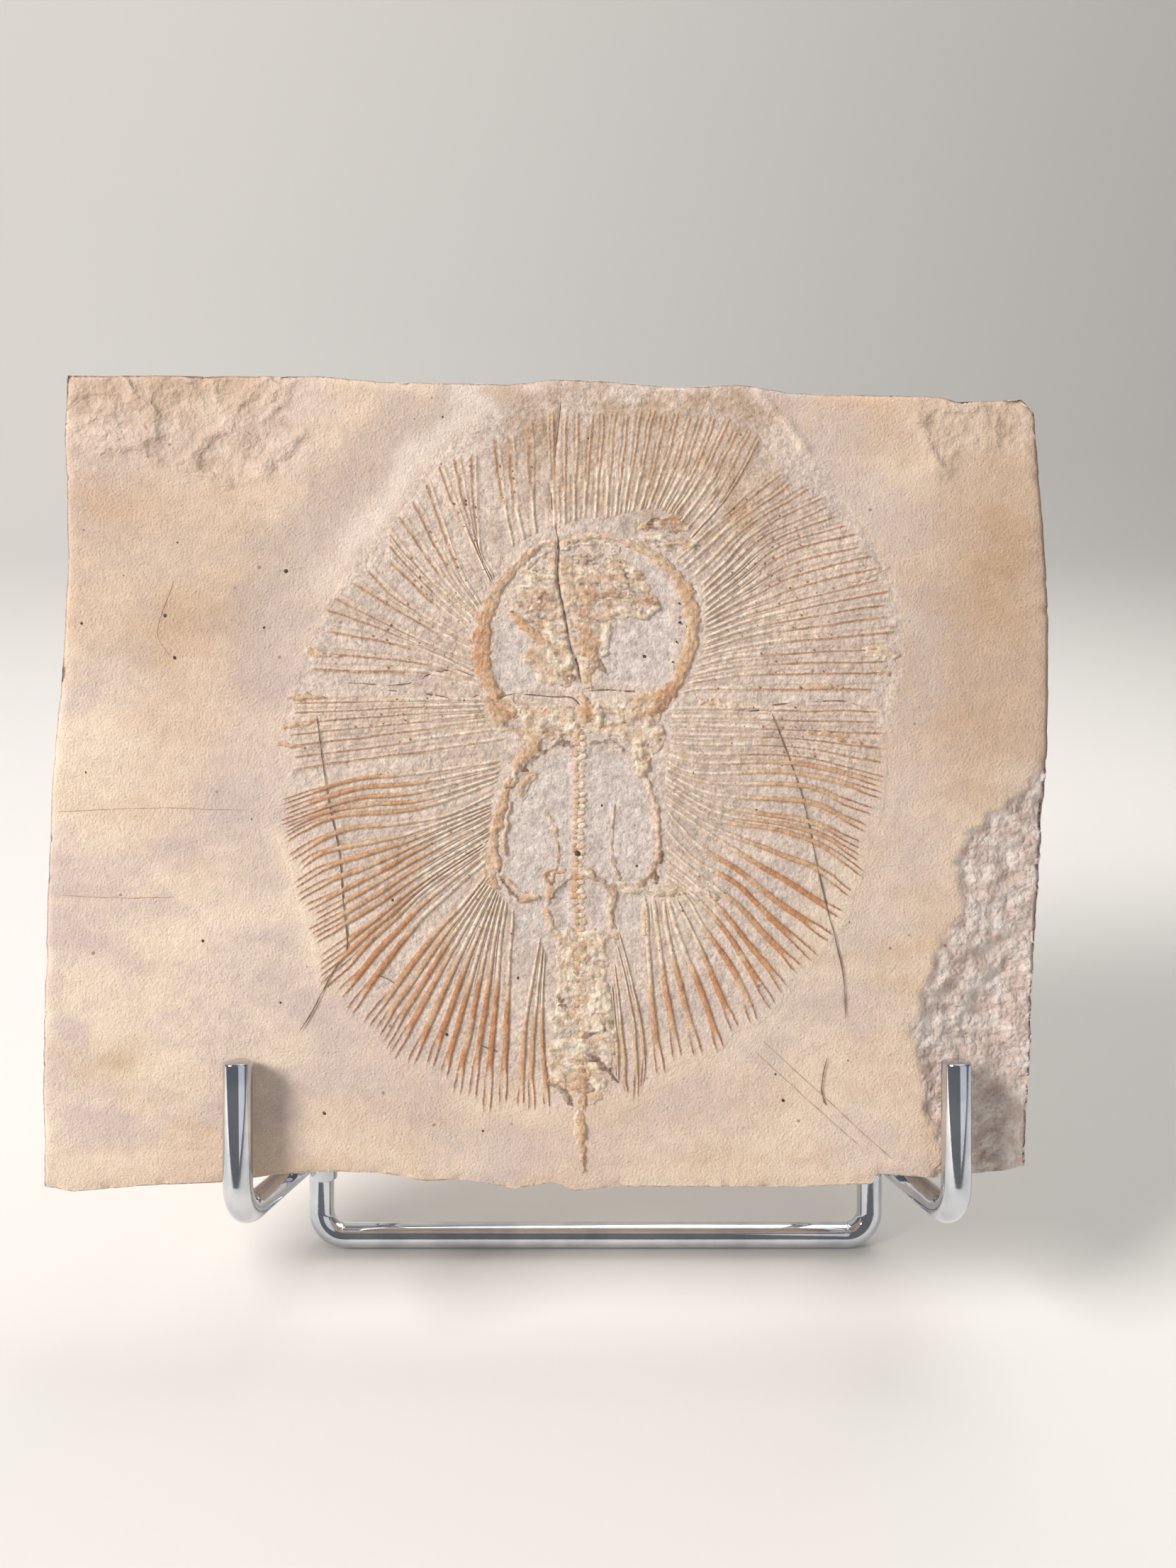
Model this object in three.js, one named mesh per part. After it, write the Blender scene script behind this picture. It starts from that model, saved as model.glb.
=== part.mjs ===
// A flat slab of limestone with a ray fossil on its face, leaning back in a stand of bent
// chrome wire. Millimetres, +Z up, the front towards -Y, standing on z = 0.
//
// The slab and the cradle share one leaning group. Its axes are x (right), y (into the slab,
// from the front face) and z (up the face), and its zero is where the slab's front face meets
// the tops of the cradle's arms, on the slab's own middle line.

import * as THREE from 'three';
import { mergeVertices } from 'three/addons/utils/BufferGeometryUtils.js';

// Driving dimensions.
const lean = THREE.MathUtils.degToRad(22);
const slabThickness = 18;
const rimBreak = 0.9;
const restHeight = 0.35;

const wireDiameter = 4.5;
const wireSides = 12;
const stepsPerBend = 5;
const standCentre = 8;
const prongHalfSpan = 55;
const footHalfSpan = 50.2;
const prongTop = 21.9;
const prongSetOff = 0.5;
const prongBendRadius = 5.5;
const cradleBendRadius = 4.5;
const frontFootBack = 33;
const frontFootDrop = 18.4;

const weldGap = 0.35;
const backTop = 84;
const backBottom = -4;
const backBendRadius = 7;
const rearFootY = 101;

// Worked out from them.
const wireRadius = wireDiameter / 2;
const armLevel = -wireRadius;
const prongDepth = -(wireRadius + prongSetOff);
const backDepth = slabThickness + weldGap + wireRadius;
const armShare = (backDepth - prongDepth) / (frontFootBack - prongDepth);
const armSpan = THREE.MathUtils.lerp(prongHalfSpan, footHalfSpan, armShare);
const backHalfSpan = armSpan - wireDiameter - weldGap;
const seatHeight = wireRadius + frontFootBack * Math.sin(lean) + frontFootDrop * Math.cos(lean);

// The slab's outline as seen from the front: x from its middle, z above the cradle's arms.
const outline = [
  [-78.4, 1.4], [-73.8, 0.6], [-62.9, 1.6], [-50.6, 2.1], [-41.6, 3.5], [-32.9, 3.9], [-26.5, 3.7],
  [-18.8, 2.3], [-12.5, 2.5], [-4.8, 1.1], [1.0, 2.1], [4.5, 0.7], [12.1, 1.5], [39.4, 1.4],
  [51.2, 1.9], [51.9, 3.6], [61.2, 2.8], [71.4, 3.7], [75.6, 4.7], [76.0, 12.1], [76.3, 26.8],
  [77.2, 46.5], [78.5, 69.6], [78.7, 90.0], [77.8, 105.5], [77.0, 115.5], [76.5, 122.4],
  [74.6, 124.6], [64.6, 124.0], [61.9, 124.9], [44.5, 125.3], [38.1, 125.6], [30.8, 126.8],
  [20.8, 126.5], [8.9, 127.4], [1.4, 127.7], [-5.8, 126.9], [-25.5, 127.2], [-35.1, 128.1],
  [-74.9, 128.3], [-75.2, 119.2], [-74.8, 98.0], [-75.7, 82.0], [-76.3, 75.5], [-77.2, 65.0],
  [-78.1, 42.4], [-78.7, 15.6],
];

const limestone = new THREE.MeshStandardMaterial({
  name: 'limestone', color: 0xdcc3a6, roughness: 0.9, metalness: 0, flatShading: true,
});
const chrome = new THREE.MeshStandardMaterial({
  name: 'chrome', color: 0xd4d6da, roughness: 0.08, metalness: 1, flatShading: true,
});

// A wire's centre line: straight runs between corner points, with a round bend at each corner.
// Its stations are the ends of the straight runs and a few even steps through every bend.
class BentWire extends THREE.Curve {
  constructor(corners, bendRadii) {
    super();
    this.stations = [];
    const directions = corners.slice(1).map((corner, i) => corner.clone().sub(corners[i]).normalize());
    this.stations.push({ point: corners[0], tangent: directions[0] });
    bendRadii.forEach((radius, i) => {
      this.addBend(corners[i + 1], directions[i], directions[i + 1], radius);
    });
    this.stations.push({ point: corners.at(-1), tangent: directions.at(-1) });
  }

  addBend(corner, arriving, leaving, radius) {
    const turn = arriving.angleTo(leaving);
    const start = corner.clone().addScaledVector(arriving, -radius * Math.tan(turn / 2));
    const inward = leaving.clone().addScaledVector(arriving, -Math.cos(turn)).normalize();
    for (let step = 0; step <= stepsPerBend; step += 1) {
      const angle = (turn * step) / stepsPerBend;
      const point = start.clone().addScaledVector(arriving, radius * Math.sin(angle));
      point.addScaledVector(inward, radius * (1 - Math.cos(angle)));
      const tangent = arriving.clone().multiplyScalar(Math.cos(angle));
      tangent.addScaledVector(inward, Math.sin(angle));
      this.stations.push({ point, tangent });
    }
  }

  stationAt(u) {
    return this.stations[Math.round(u * (this.stations.length - 1))];
  }

  getPointAt(u) {
    return this.stationAt(u).point.clone();
  }

  getTangentAt(u) {
    return this.stationAt(u).tangent.clone();
  }
}

// A many-sided section whose flats lie at the wire's own radius, one of them facing `turn`.
function wireSection(turn) {
  const cornerRadius = wireRadius / Math.cos(Math.PI / wireSides);
  const corners = [];
  for (let side = 0; side < wireSides; side += 1) {
    const angle = turn + ((side + 0.5) * 2 * Math.PI) / wireSides;
    corners.push(new THREE.Vector2(cornerRadius * Math.cos(angle), cornerRadius * Math.sin(angle)));
  }
  return new THREE.Shape(corners);
}

// One closed tube along a bent wire. The section is turned so that the foot bar in the middle of
// the wire has a flat side towards `down`, the direction of the table.
function wireGeometry(wire, down) {
  const steps = wire.stations.length - 1;
  const frames = wire.computeFrenetFrames(steps, false);
  const middle = Math.floor(steps / 2);
  const turn = Math.atan2(down.dot(frames.binormals[middle]), down.dot(frames.normals[middle]));
  const tube = new THREE.ExtrudeGeometry(wireSection(turn), {
    steps, extrudePath: wire, bevelEnabled: false,
  });
  return closed(tube);
}

// The same geometry with its shared corners merged, so that it is one closed body.
function closed(geometry) {
  geometry.deleteAttribute('normal');
  geometry.deleteAttribute('uv');
  return mergeVertices(geometry, 1e-4);
}

// The slab: its outline pulled back through the thickness, with the front and back rims broken.
// The underside runs from the ragged front edge to a straight rear edge, which lies on the arms.
function slabGeometry() {
  const face = new THREE.Shape(outline.map(([x, z]) => new THREE.Vector2(x, z)));
  const block = new THREE.ExtrudeGeometry(face, {
    depth: slabThickness - 2 * rimBreak,
    steps: 2,
    bevelEnabled: true,
    bevelThickness: rimBreak,
    bevelSize: rimBreak / 2,
    bevelOffset: -rimBreak / 2,
    bevelSegments: 1,
  });
  block.rotateX(Math.PI / 2);
  block.translate(0, slabThickness - rimBreak, 0);
  const position = block.attributes.position;
  const undersideHeight = 6;
  for (let i = 0; i < position.count; i += 1) {
    const height = position.getZ(i);
    if (height < undersideHeight) {
      const share = position.getY(i) / slabThickness;
      position.setZ(i, THREE.MathUtils.lerp(height, restHeight, share));
    }
  }
  return closed(block);
}

// A point given from the table up, in the leaning group's own axes.
function fromTable(x, y, z) {
  const height = z - seatHeight;
  return new THREE.Vector3(
    x,
    y * Math.cos(lean) - height * Math.sin(lean),
    y * Math.sin(lean) + height * Math.cos(lean),
  );
}

// The front wire, in one piece: prong, arm, leg, foot bar, leg, arm and prong.
function cradleWire() {
  const half = [
    new THREE.Vector3(prongHalfSpan, prongDepth, prongTop),
    new THREE.Vector3(prongHalfSpan, prongDepth, armLevel),
    new THREE.Vector3(footHalfSpan, frontFootBack, armLevel),
    new THREE.Vector3(footHalfSpan, frontFootBack, -frontFootDrop),
  ];
  const radii = [prongBendRadius, cradleBendRadius, cradleBendRadius];
  return mirroredWire(half, radii);
}

// The rear wire, in one piece: up behind the slab, over, down to the rear foot bar, and back up.
function backWire() {
  const half = [
    new THREE.Vector3(backHalfSpan, backDepth, backBottom),
    new THREE.Vector3(backHalfSpan, backDepth, backTop),
    fromTable(backHalfSpan, rearFootY, wireRadius),
  ];
  return mirroredWire(half, [backBendRadius, cradleBendRadius]);
}

// A wire that is the same on the left and the right, from the corners and bends of one half.
function mirroredWire(half, radii) {
  const right = half.map((corner) => corner.clone().setX(standCentre + corner.x));
  const left = half.map((corner) => corner.clone().setX(standCentre - corner.x));
  return new BentWire([...left, ...right.reverse()], [...radii, ...radii.toReversed()]);
}

function named(name, geometry, material) {
  const mesh = new THREE.Mesh(geometry, material);
  mesh.name = name;
  return mesh;
}

// The table is straight down, which in the leaning group's axes is this direction.
const down = new THREE.Vector3(0, Math.sin(lean), -Math.cos(lean));

const leaning = new THREE.Group();
leaning.rotation.x = -lean;
leaning.add(
  named('fossil_slab', slabGeometry(), limestone),
  named('cradle_wire', wireGeometry(cradleWire(), down), chrome),
  named('back_wire', wireGeometry(backWire(), down), chrome),
);

// The finished part stands with the middle of its footprint's box on the origin.
const part = new THREE.Group();
leaning.position.set(0, 0, seatHeight);
part.add(leaning);
part.updateMatrixWorld(true);
const box = new THREE.Box3().setFromObject(part, true);
leaning.position.sub(new THREE.Vector3((box.min.x + box.max.x) / 2, (box.min.y + box.max.y) / 2, 0));

export default part;
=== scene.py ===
"""A small slab of limestone with the skeleton of a round ray on its face, on a bent wire stand.

Places on the face are given in millimetres as x (to the right of the slab's middle line), w (up
the face, from the tops of the stand's arms) and out (towards the viewer, from the plane in which
the face of the plain block lies). Meshes are first made flat, with x, w and out as their three
axes, and then laid on the leaning slab by FACE_TO_WORLD.
"""

import math
from collections import namedtuple

import bpy
import numpy as np
from mathutils import Matrix, Vector


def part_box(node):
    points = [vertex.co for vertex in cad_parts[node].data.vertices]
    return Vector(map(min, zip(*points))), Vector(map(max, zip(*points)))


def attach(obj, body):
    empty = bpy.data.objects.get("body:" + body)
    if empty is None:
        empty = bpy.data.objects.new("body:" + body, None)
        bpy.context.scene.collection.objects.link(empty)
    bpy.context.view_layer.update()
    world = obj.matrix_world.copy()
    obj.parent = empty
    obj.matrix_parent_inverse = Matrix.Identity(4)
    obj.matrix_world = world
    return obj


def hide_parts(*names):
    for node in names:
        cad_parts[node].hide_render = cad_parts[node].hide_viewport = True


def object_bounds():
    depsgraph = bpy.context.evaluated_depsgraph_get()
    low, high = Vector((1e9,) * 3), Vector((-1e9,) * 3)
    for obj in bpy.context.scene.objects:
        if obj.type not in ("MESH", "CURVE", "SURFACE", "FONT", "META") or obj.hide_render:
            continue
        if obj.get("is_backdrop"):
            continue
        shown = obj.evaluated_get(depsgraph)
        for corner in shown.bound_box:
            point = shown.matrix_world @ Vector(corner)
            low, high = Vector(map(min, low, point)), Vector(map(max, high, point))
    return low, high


bl_info = {
    "name": "Fossil Ray Slab",
    "version": (1, 0, 0),
    "blender": (4, 5, 0),
    "location": "View3D > Sidebar > Fossil Ray",
    "description": "Builds a limestone slab with a fossil ray on a chrome wire stand",
    "category": "Object",
}

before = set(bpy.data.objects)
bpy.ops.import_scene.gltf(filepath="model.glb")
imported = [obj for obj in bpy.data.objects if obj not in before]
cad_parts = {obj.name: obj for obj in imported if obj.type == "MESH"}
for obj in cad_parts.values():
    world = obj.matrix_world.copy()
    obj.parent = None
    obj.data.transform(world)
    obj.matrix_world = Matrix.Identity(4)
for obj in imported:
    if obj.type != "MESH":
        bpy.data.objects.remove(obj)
cad_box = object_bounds()

MM = 0.001
BODY = "root"
LEAN = math.radians(22)
REST_HEIGHT = 0.35
THICKNESS = 18.0
FACE_TURN = math.pi / 2 - LEAN
MIDDLE_HEIGHT = 64.0
BURIED = -0.6
UNDERSIDE = 0.9
CAMERA_LENS = 27.03
CAMERA_PLACE = (6.61, 64.3, 183)
LIT_PLACE = (5, 62, 0)


def seat_corner():
    """The place, in metres, where the plain block's face meets the tops of the stand's arms."""
    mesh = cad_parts["fossil_slab"].data
    corners = np.empty(len(mesh.vertices) * 3)
    mesh.vertices.foreach_get("co", corners)
    corners = corners.reshape(-1, 3)
    depth = (corners[:, 1] * math.cos(LEAN) - corners[:, 2] * math.sin(LEAN)).min()
    height = (corners[:, 1] * math.sin(LEAN) + corners[:, 2] * math.cos(LEAN)).min()
    height -= REST_HEIGHT * MM
    return Vector((
        0,
        depth * math.cos(LEAN) + height * math.sin(LEAN),
        height * math.cos(LEAN) - depth * math.sin(LEAN),
    ))


SEAT = seat_corner()
FACE_TO_WORLD = Matrix.Translation(SEAT) @ Matrix.Rotation(FACE_TURN, 4, "X")

# ---------------------------------------------------------------------------------------------
# Shapes on the slab's face, in millimetres as (x, w).

BOTTOM_EDGE = [
    (-78.4, 1.4), (-73.8, 0.6), (-62.9, 1.6), (-50.6, 2.1), (-41.6, 3.5), (-32.9, 3.9), (-26.5, 3.7),
    (-18.8, 2.3), (-12.5, 2.5), (-4.8, 1.1), (1.0, 2.1), (4.5, 0.7), (12.1, 1.5), (39.4, 1.4),
    (51.2, 1.9), (51.9, 3.6), (61.2, 2.8), (71.4, 3.7), (75.6, 4.7),
]
RIGHT_EDGE = [
    (75.6, 4.7), (76.0, 12.1), (76.3, 26.8), (77.2, 46.5), (78.5, 69.6), (78.7, 90.0),
    (77.8, 105.5), (77.0, 115.5), (76.5, 122.4),
]
TOP_EDGE = [
    (-74.9, 128.3), (-35.1, 128.1), (-25.5, 127.2), (-5.8, 126.9), (1.4, 127.7), (8.9, 127.4),
    (20.8, 126.5), (30.8, 126.8), (38.1, 125.6), (44.5, 125.3), (61.9, 124.9), (64.6, 124.0),
    (74.6, 124.6), (76.5, 122.4),
]
LEFT_EDGE = [
    (-78.4, 1.4), (-78.7, 15.6), (-78.1, 42.4), (-77.2, 65.0), (-76.3, 75.5), (-75.7, 82.0),
    (-74.8, 98.0), (-75.2, 119.2), (-74.9, 128.3),
]

# The edge of the ray's round body, clockwise from the top left.
DISC_EDGE = [
    (-8, 123), (-12, 120.5), (-19, 113.5), (-25, 104.7), (-31.5, 97), (-37.5, 85.3), (-41, 74),
    (-44.3, 61), (-42, 53), (-39, 44), (-36, 33), (-29.5, 24.5), (-20, 17.3), (-9.8, 13), (-3, 11.5),
    (5.5, 10.5), (14, 13.5), (20.5, 18), (30, 23.5), (39, 31), (44.8, 40), (50.4, 49.5), (53.6, 59),
    (54.5, 70), (55.6, 82), (55.9, 91), (52, 101), (45, 110.7), (39, 118.5), (32, 126), (12, 130),
    (-8, 123),
]
LOWER_CHIP = [
    (80, 68), (75, 65), (71, 60), (66.3, 57), (64, 51), (66.3, 46), (63, 40), (59, 33.8), (57.5, 29),
    (56.6, 24.1), (59.5, 14), (61.4, 4.6), (61, 0), (82, 0), (80, 68),
]
TOP_LEFT_FLAKES = [
    (-80, 132), (-34, 132), (-37, 122), (-38.5, 113), (-45, 109), (-53, 111.5), (-62, 114), (-72, 112),
    (-80, 118), (-80, 132),
]
TOP_RIGHT_FLAKES = [
    (52, 130), (56, 120), (53, 114.5), (58, 112), (68, 115), (74, 113), (80, 110), (80, 130), (52, 130),
]
STAINED_TOP = [
    (-10, 130), (-6, 112), (0, 104), (8, 104.5), (15, 103), (24, 102), (33, 101), (37, 110),
    (36, 121), (32, 130), (-10, 130),
]
GOLDEN_BLOTCH = [
    (58, 86), (63, 90), (66, 97), (71, 106), (74, 104), (72, 96), (68, 90), (63, 85), (58, 86),
]
# Darker tan at the upper right corner, partly painted shade for the light falling off towards the right.
TAN_AND_SHADE_CORNER = [(56, 76), (60, 100), (66, 118), (80, 122), (80, 70), (66, 66), (56, 76)]
TAN_LEFT = [(-80, 118), (-56, 112), (-44, 108), (-42, 98), (-50, 84), (-62, 80), (-80, 92), (-80, 118)]
GREY_MARGIN = [
    (-44, 78), (-38, 92), (-26, 108), (-12, 122), (-16, 127), (-30, 119), (-44, 104), (-50, 88), (-44, 78),
]
CAVITIES = {
    "left": [
        (4.2, 69), (1, 68.8), (-2.5, 65.5), (-5, 62), (-6.3, 57), (-6.3, 52), (-4.5, 48), (-1, 47),
        (1, 50), (4, 51.5), (4.2, 60), (4.2, 69),
    ],
    "right": [
        (6.6, 69.5), (10.5, 69.5), (14, 65.5), (16, 61), (16.8, 56), (15.8, 51), (13, 48.5),
        (10, 49.5), (7, 51.5), (6.4, 60), (6.6, 69.5),
    ],
    "gill left": [(-8, 89.5), (-4.5, 90), (-3, 86.5), (-0.5, 83), (-2, 79.6), (-7.5, 79.4), (-8, 89.5)],
    "gill right": [
        (9.5, 80), (8.2, 85), (10, 88), (13, 90), (18.5, 92.5), (20.5, 88), (19.8, 83), (18, 79.8),
        (9.5, 80),
    ],
    "brow": [(13.5, 96), (16.5, 98.5), (18.6, 96.5), (19.8, 94), (15, 94.2), (13.5, 96)],
    "hip left": [(-4.6, 45.2), (-0.3, 45.4), (0, 41.5), (-1, 39.5), (-4.3, 40), (-4.6, 45.2)],
    "hip right": [(11.3, 46.4), (15, 46.8), (15, 42.4), (11.8, 42), (11.3, 46.4)],
    "pelvis left": [(1.6, 47), (3.9, 48.8), (4.1, 42.4), (2.2, 41.2), (1.6, 47)],
    "pelvis right": [(6.9, 48.6), (9.6, 47.4), (9.6, 43), (7.2, 42), (6.9, 48.6)],
}
LONG_CRACKS = [
    [(2.4, 127), (2.2, 122), (1, 110), (1.5, 105), (2, 101.5), (2, 96), (3, 91), (4, 85.5), (5, 83),
     (5.6, 79.4)],
    [(-38, 80.6), (-30, 80), (-24, 79.7), (-20, 80.3), (-18, 81.5), (-14, 82.2), (-11, 81)],
    [(-26, 79), (-18, 78.3), (-13, 77.4), (-10, 78.4)],
    [(-7, 77.8), (-4.5, 78.4), (0, 78), (4, 77.8), (5.5, 76.6)],
    [(6.5, 78.8), (10, 79), (14, 78.6)],
    [(31, 75.6), (33, 75.8), (36, 76.6), (40, 77), (46, 77.3), (49, 76.4), (50.5, 75.4)],
]
HAIRLINES = [
    [(-35.6, 75), (-34.7, 68), (-33.6, 61), (-32.2, 54.5), (-31.6, 48), (-31.2, 44), (-30.8, 38.5),
     (-33, 35), (-36.5, 28.5), (-38.5, 25.5)],
    [(35.2, 75.3), (38, 68), (40, 62), (42.6, 50), (44, 44), (45.2, 40), (46.5, 34), (46.8, 27.7)],
    [(-26, 34.5), (-24.6, 34), (-23.3, 33.2)],
    [(43.9, 21.7), (43.2, 19), (43.1, 16), (43.8, 14.3)],
    [(-10.4, 23.8), (-9, 23.2), (-7.6, 22.6)],
]
SCRATCHES = [
    [(33.9, 24.2), (44, 15), (54.1, 5.8)],
    [(32.6, 22.6), (42, 14), (49, 8)],
    [(-76, 60), (-60, 60.6), (-47, 60.2)],
    [(-76, 47), (-66, 46.6), (-58, 46.8)],
    [(-58, 96), (-60.5, 88), (-58.6, 84)],
]


def smooth_line(points, count):
    """Evenly spaced places along a soft curve through a few given points."""
    controls = np.array(points, float)
    before = 2 * controls[:1] - controls[1:2]
    after = 2 * controls[-1:] - controls[-2:-1]
    ends = np.vstack([before, controls, after])
    steps_between = 12
    steps = np.linspace(0, 1, steps_between, endpoint=False)[:, None]
    pieces = []
    for a, b, c, d in zip(ends, ends[1:], ends[2:], ends[3:]):
        bend = (2 * a - 5 * b + 4 * c - d) * steps**2 + (3 * b - 3 * c + d - a) * steps**3
        pieces.append(0.5 * (2 * b + (c - a) * steps + bend))
    track = np.vstack(pieces + [controls[-1:]])
    travel = np.concatenate([[0], np.cumsum(np.hypot(*np.diff(track, axis=0).T))])
    even = np.linspace(0, travel[-1], count)
    return np.column_stack([np.interp(even, travel, track[:, axis]) for axis in (0, 1)])


def distance_to(x, w, line):
    """The distance from each place to a line, and how far along the line its nearest place is."""
    lengths = np.hypot(*np.diff(line, axis=0).T)
    starts = np.concatenate([[0], np.cumsum(lengths)]) / lengths.sum()
    nearest = np.full(np.shape(x), 1e9)
    along = np.zeros(np.shape(x))
    for index, ((ax, aw), (bx, bw)) in enumerate(zip(line, line[1:])):
        run, rise = bx - ax, bw - aw
        share = np.clip(((x - ax) * run + (w - aw) * rise) / (run**2 + rise**2), 0, 1)
        gap = np.hypot(x - ax - share * run, w - aw - share * rise)
        closer = gap < nearest
        nearest = np.where(closer, gap, nearest)
        place = starts[index] + share * (starts[index + 1] - starts[index])
        along = np.where(closer, place, along)
    return nearest, along


def inside(x, w, loop):
    """Which places lie inside a closed loop."""
    result = np.zeros(np.shape(x), bool)
    for (ax, aw), (bx, bw) in zip(loop, loop[1:]):
        if aw != bw:
            crosses = (aw > w) != (bw > w)
            result ^= crosses & (x < ax + (w - aw) * (bx - ax) / (bw - aw))
    return result


def ease(low, high, value):
    """0 below low, 1 above high and a soft rise between them."""
    share = np.clip((value - low) / (high - low), 0, 1)
    return share * share * (3 - 2 * share)


def depth_inside(x, w, loop):
    """How far each place is inside a loop, negative outside it."""
    gap = distance_to(x, w, loop)[0]
    return np.where(inside(x, w, loop), gap, -gap)


def hills(x, w, size, seed):
    """Soft random hills between about -1 and 1 whose width is about size."""
    cells = 256
    table = np.random.default_rng(seed).uniform(-1, 1, (cells, cells))
    across, up = np.asarray(x) / size + 1000.5, np.asarray(w) / size + 1000.5
    column, row = np.floor(across).astype(int), np.floor(up).astype(int)
    right, top = ease(0, 1, across - column), ease(0, 1, up - row)
    after, above = (column + 1) % cells, (row + 1) % cells
    column, row = column % cells, row % cells
    low = table[column, row] * (1 - right) + table[after, row] * right
    high = table[column, above] * (1 - right) + table[after, above] * right
    return low * (1 - top) + high * top


def crags(x, w, size, seed, layers=4):
    """Hills on hills, each layer half as wide and half as high as the one before."""
    total = 0
    for layer in range(layers):
        total = total + hills(x, w, size / 2**layer, seed + layer) / 2**layer
    return total / 1.6


def ledges(value, steps):
    """Turns a soft slope into steps with narrow risers, as splitting stone breaks."""
    level = value * steps
    tread = np.floor(level)
    return (tread + ease(0.72, 1.0, level - tread)) / steps


DISC_LOOP = smooth_line(DISC_EDGE, 120)
CHIP_LOOP = smooth_line(LOWER_CHIP, 60)
FLAKE_LOOPS = [np.array(TOP_LEFT_FLAKES, float), np.array(TOP_RIGHT_FLAKES, float)]
STAIN_LOOP = np.array(STAINED_TOP, float)
BLOTCH_LOOP = np.array(GOLDEN_BLOTCH, float)
TAN_AND_SHADE_LOOP = np.array(TAN_AND_SHADE_CORNER, float)
TAN_LEFT_LOOP = np.array(TAN_LEFT, float)
GREY_LOOP = np.array(GREY_MARGIN, float)
CAVITY_LOOPS = {name: smooth_line(loop, 40) for name, loop in CAVITIES.items()}
CRACK_LINES = [smooth_line(points, 40) for points in LONG_CRACKS]
PIT_LINE = smooth_line([(14, 104.4), (18, 105), (22.5, 103.8)], 12)
MATRIX_LEVEL = -0.45
# The kinds of surface that the fossil's own pieces take part in.
FOSSIL_SHARES = ("disc", "halo", "stain", "cavity", "bleached", "grey_band", "tan_and_shade_top")


def face_shares(x, w):
    """How much each place belongs to the disc, its halo, the chip and the other kinds of surface."""
    wander = 0.8 * hills(x, w, 4, 11) + 0.4 * hills(x, w, 1.6, 12)
    disc_depth = depth_inside(x, w, DISC_LOOP) + 0.5 * wander
    chip_depth = depth_inside(x, w, CHIP_LOOP) + 1.4 * wander
    flakes = np.zeros(np.shape(x))
    for loop in FLAKE_LOOPS:
        flakes = np.maximum(flakes, ease(-2.5, 6, depth_inside(x, w, loop) + 4 * wander))
    cavity = np.zeros(np.shape(x))
    for loop in CAVITY_LOOPS.values():
        cavity = np.maximum(cavity, ease(-0.3, 0.7, depth_inside(x, w, loop) + 0.25 * wander))
    return {
        "disc": ease(-1.2, 1.6 + 10 * ease(76, 60, w), disc_depth),
        "halo": ease(-14, -3, disc_depth + 3 * wander) * (1 - ease(-1.5, 1.5, disc_depth)),
        "chip": ease(-0.5, 0.9, chip_depth),
        "flakes": flakes,
        "stain": ease(-3, 5, depth_inside(x, w, STAIN_LOOP) + 3 * wander),
        "cavity": cavity,
        "bleached": (ease(-6, -2.5, disc_depth + 2 * wander) * ease(0.5, -1, disc_depth)
                     * ease(88, 104, w) * ease(4, -8, x)),
        "tan_blotch": ease(-5, 4, depth_inside(x, w, BLOTCH_LOOP) + 5 * wander),
        "grey_band": ease(-5, 4, depth_inside(x, w, GREY_LOOP) + 4 * wander),
        # Darker tan at the upper corners; on the right it is partly painted shade.
        "tan_and_shade_top": np.maximum(ease(-14, 6, depth_inside(x, w, TAN_AND_SHADE_LOOP) + 4 * wander),
                                 0.6 * ease(-7, 5, depth_inside(x, w, TAN_LEFT_LOOP) + 4 * wander)),
        "chip_depth": chip_depth,
        "disc_depth": disc_depth,
    }


def face_height(x, w, shares=None):
    """How far the stone's own surface stands out at each place on the face."""
    x, w = np.asarray(x, float), np.asarray(w, float)
    part = shares or face_shares(x, w)
    out = MATRIX_LEVEL + 0.20 * hills(x, w, 46, 1) + 0.13 * hills(x, w, 15, 2) + 0.07 * hills(x, w, 6, 3)
    plain = (1 - part["disc"]) * (1 - part["chip"])
    ripples = 0.05 * crags(x * 0.45 + w * 0.12, w, 3.2, 5) + 0.025 * hills(x, w, 1.4, 9)
    out = out + plain * ripples
    out = out + 0.10 * ease(-2, 7, part["disc_depth"]) - 0.08 * part["halo"]
    rough_disc = part["disc"] * (1 - part["cavity"])
    out = out + rough_disc * (0.07 * hills(x, w, 2.4, 21) + 0.07 * hills(x, w, 1.1, 22))
    out = out - 0.16 * part["cavity"]

    beds = ledges(0.5 + 0.5 * crags(x * 0.8 + w * 0.3, w, 9, 41), 6)
    drop = 0.25 + 1.6 * ease(0, 14, part["chip_depth"]) + 0.4 * crags(x, w, 7, 31)
    crumbs = np.abs(hills(x, w, 2.3, 36)) + 0.6 * np.abs(hills(x, w, 1.3, 37)) + 0.5 * hills(x, w, 4.5, 38)
    drop = drop + 0.8 * beds + 0.7 * crumbs - 0.4
    out = out - part["chip"] * drop
    broad = 0.38 * hills(x + 0.5 * w, w - 0.5 * x, 13, 51) + 0.14 * hills(x, w, 5, 52)
    beds = ledges(0.5 + broad + 0.05 * hills(x, w, 1.8, 55), 6)
    crest = ease(0.13, 0.0, np.abs(hills(x + 0.4 * w, w, 8, 53) + 0.15 * hills(x, w, 2, 54)))
    out = out + part["flakes"] * (-0.7 + 1.3 * beds + 0.26 * crest + 0.08 * crags(x, w, 2.4, 56, 3))

    out = out - 0.55 * ease(2.4, 0.4, distance_to(x, w, PIT_LINE)[0]) * (1 + 0.5 * crags(x, w, 1.8, 63, 3))
    shoulder = distance_to(x, w, smooth_line([(32, 127), (34, 124), (38, 120), (40.4, 116.6)], 14))[0]
    out = out + 0.5 * ease(1.1, 0, shoulder + 0.3 * hills(x, w, 2, 61))
    for line in CRACK_LINES:
        gap = distance_to(x, w, line)[0]
        out = out - 0.22 * ease(0.6, 0, gap + 0.3 * hills(x, w, 1.1, 65))
    return out


# ---------------------------------------------------------------------------------------------
# Meshes.


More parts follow.
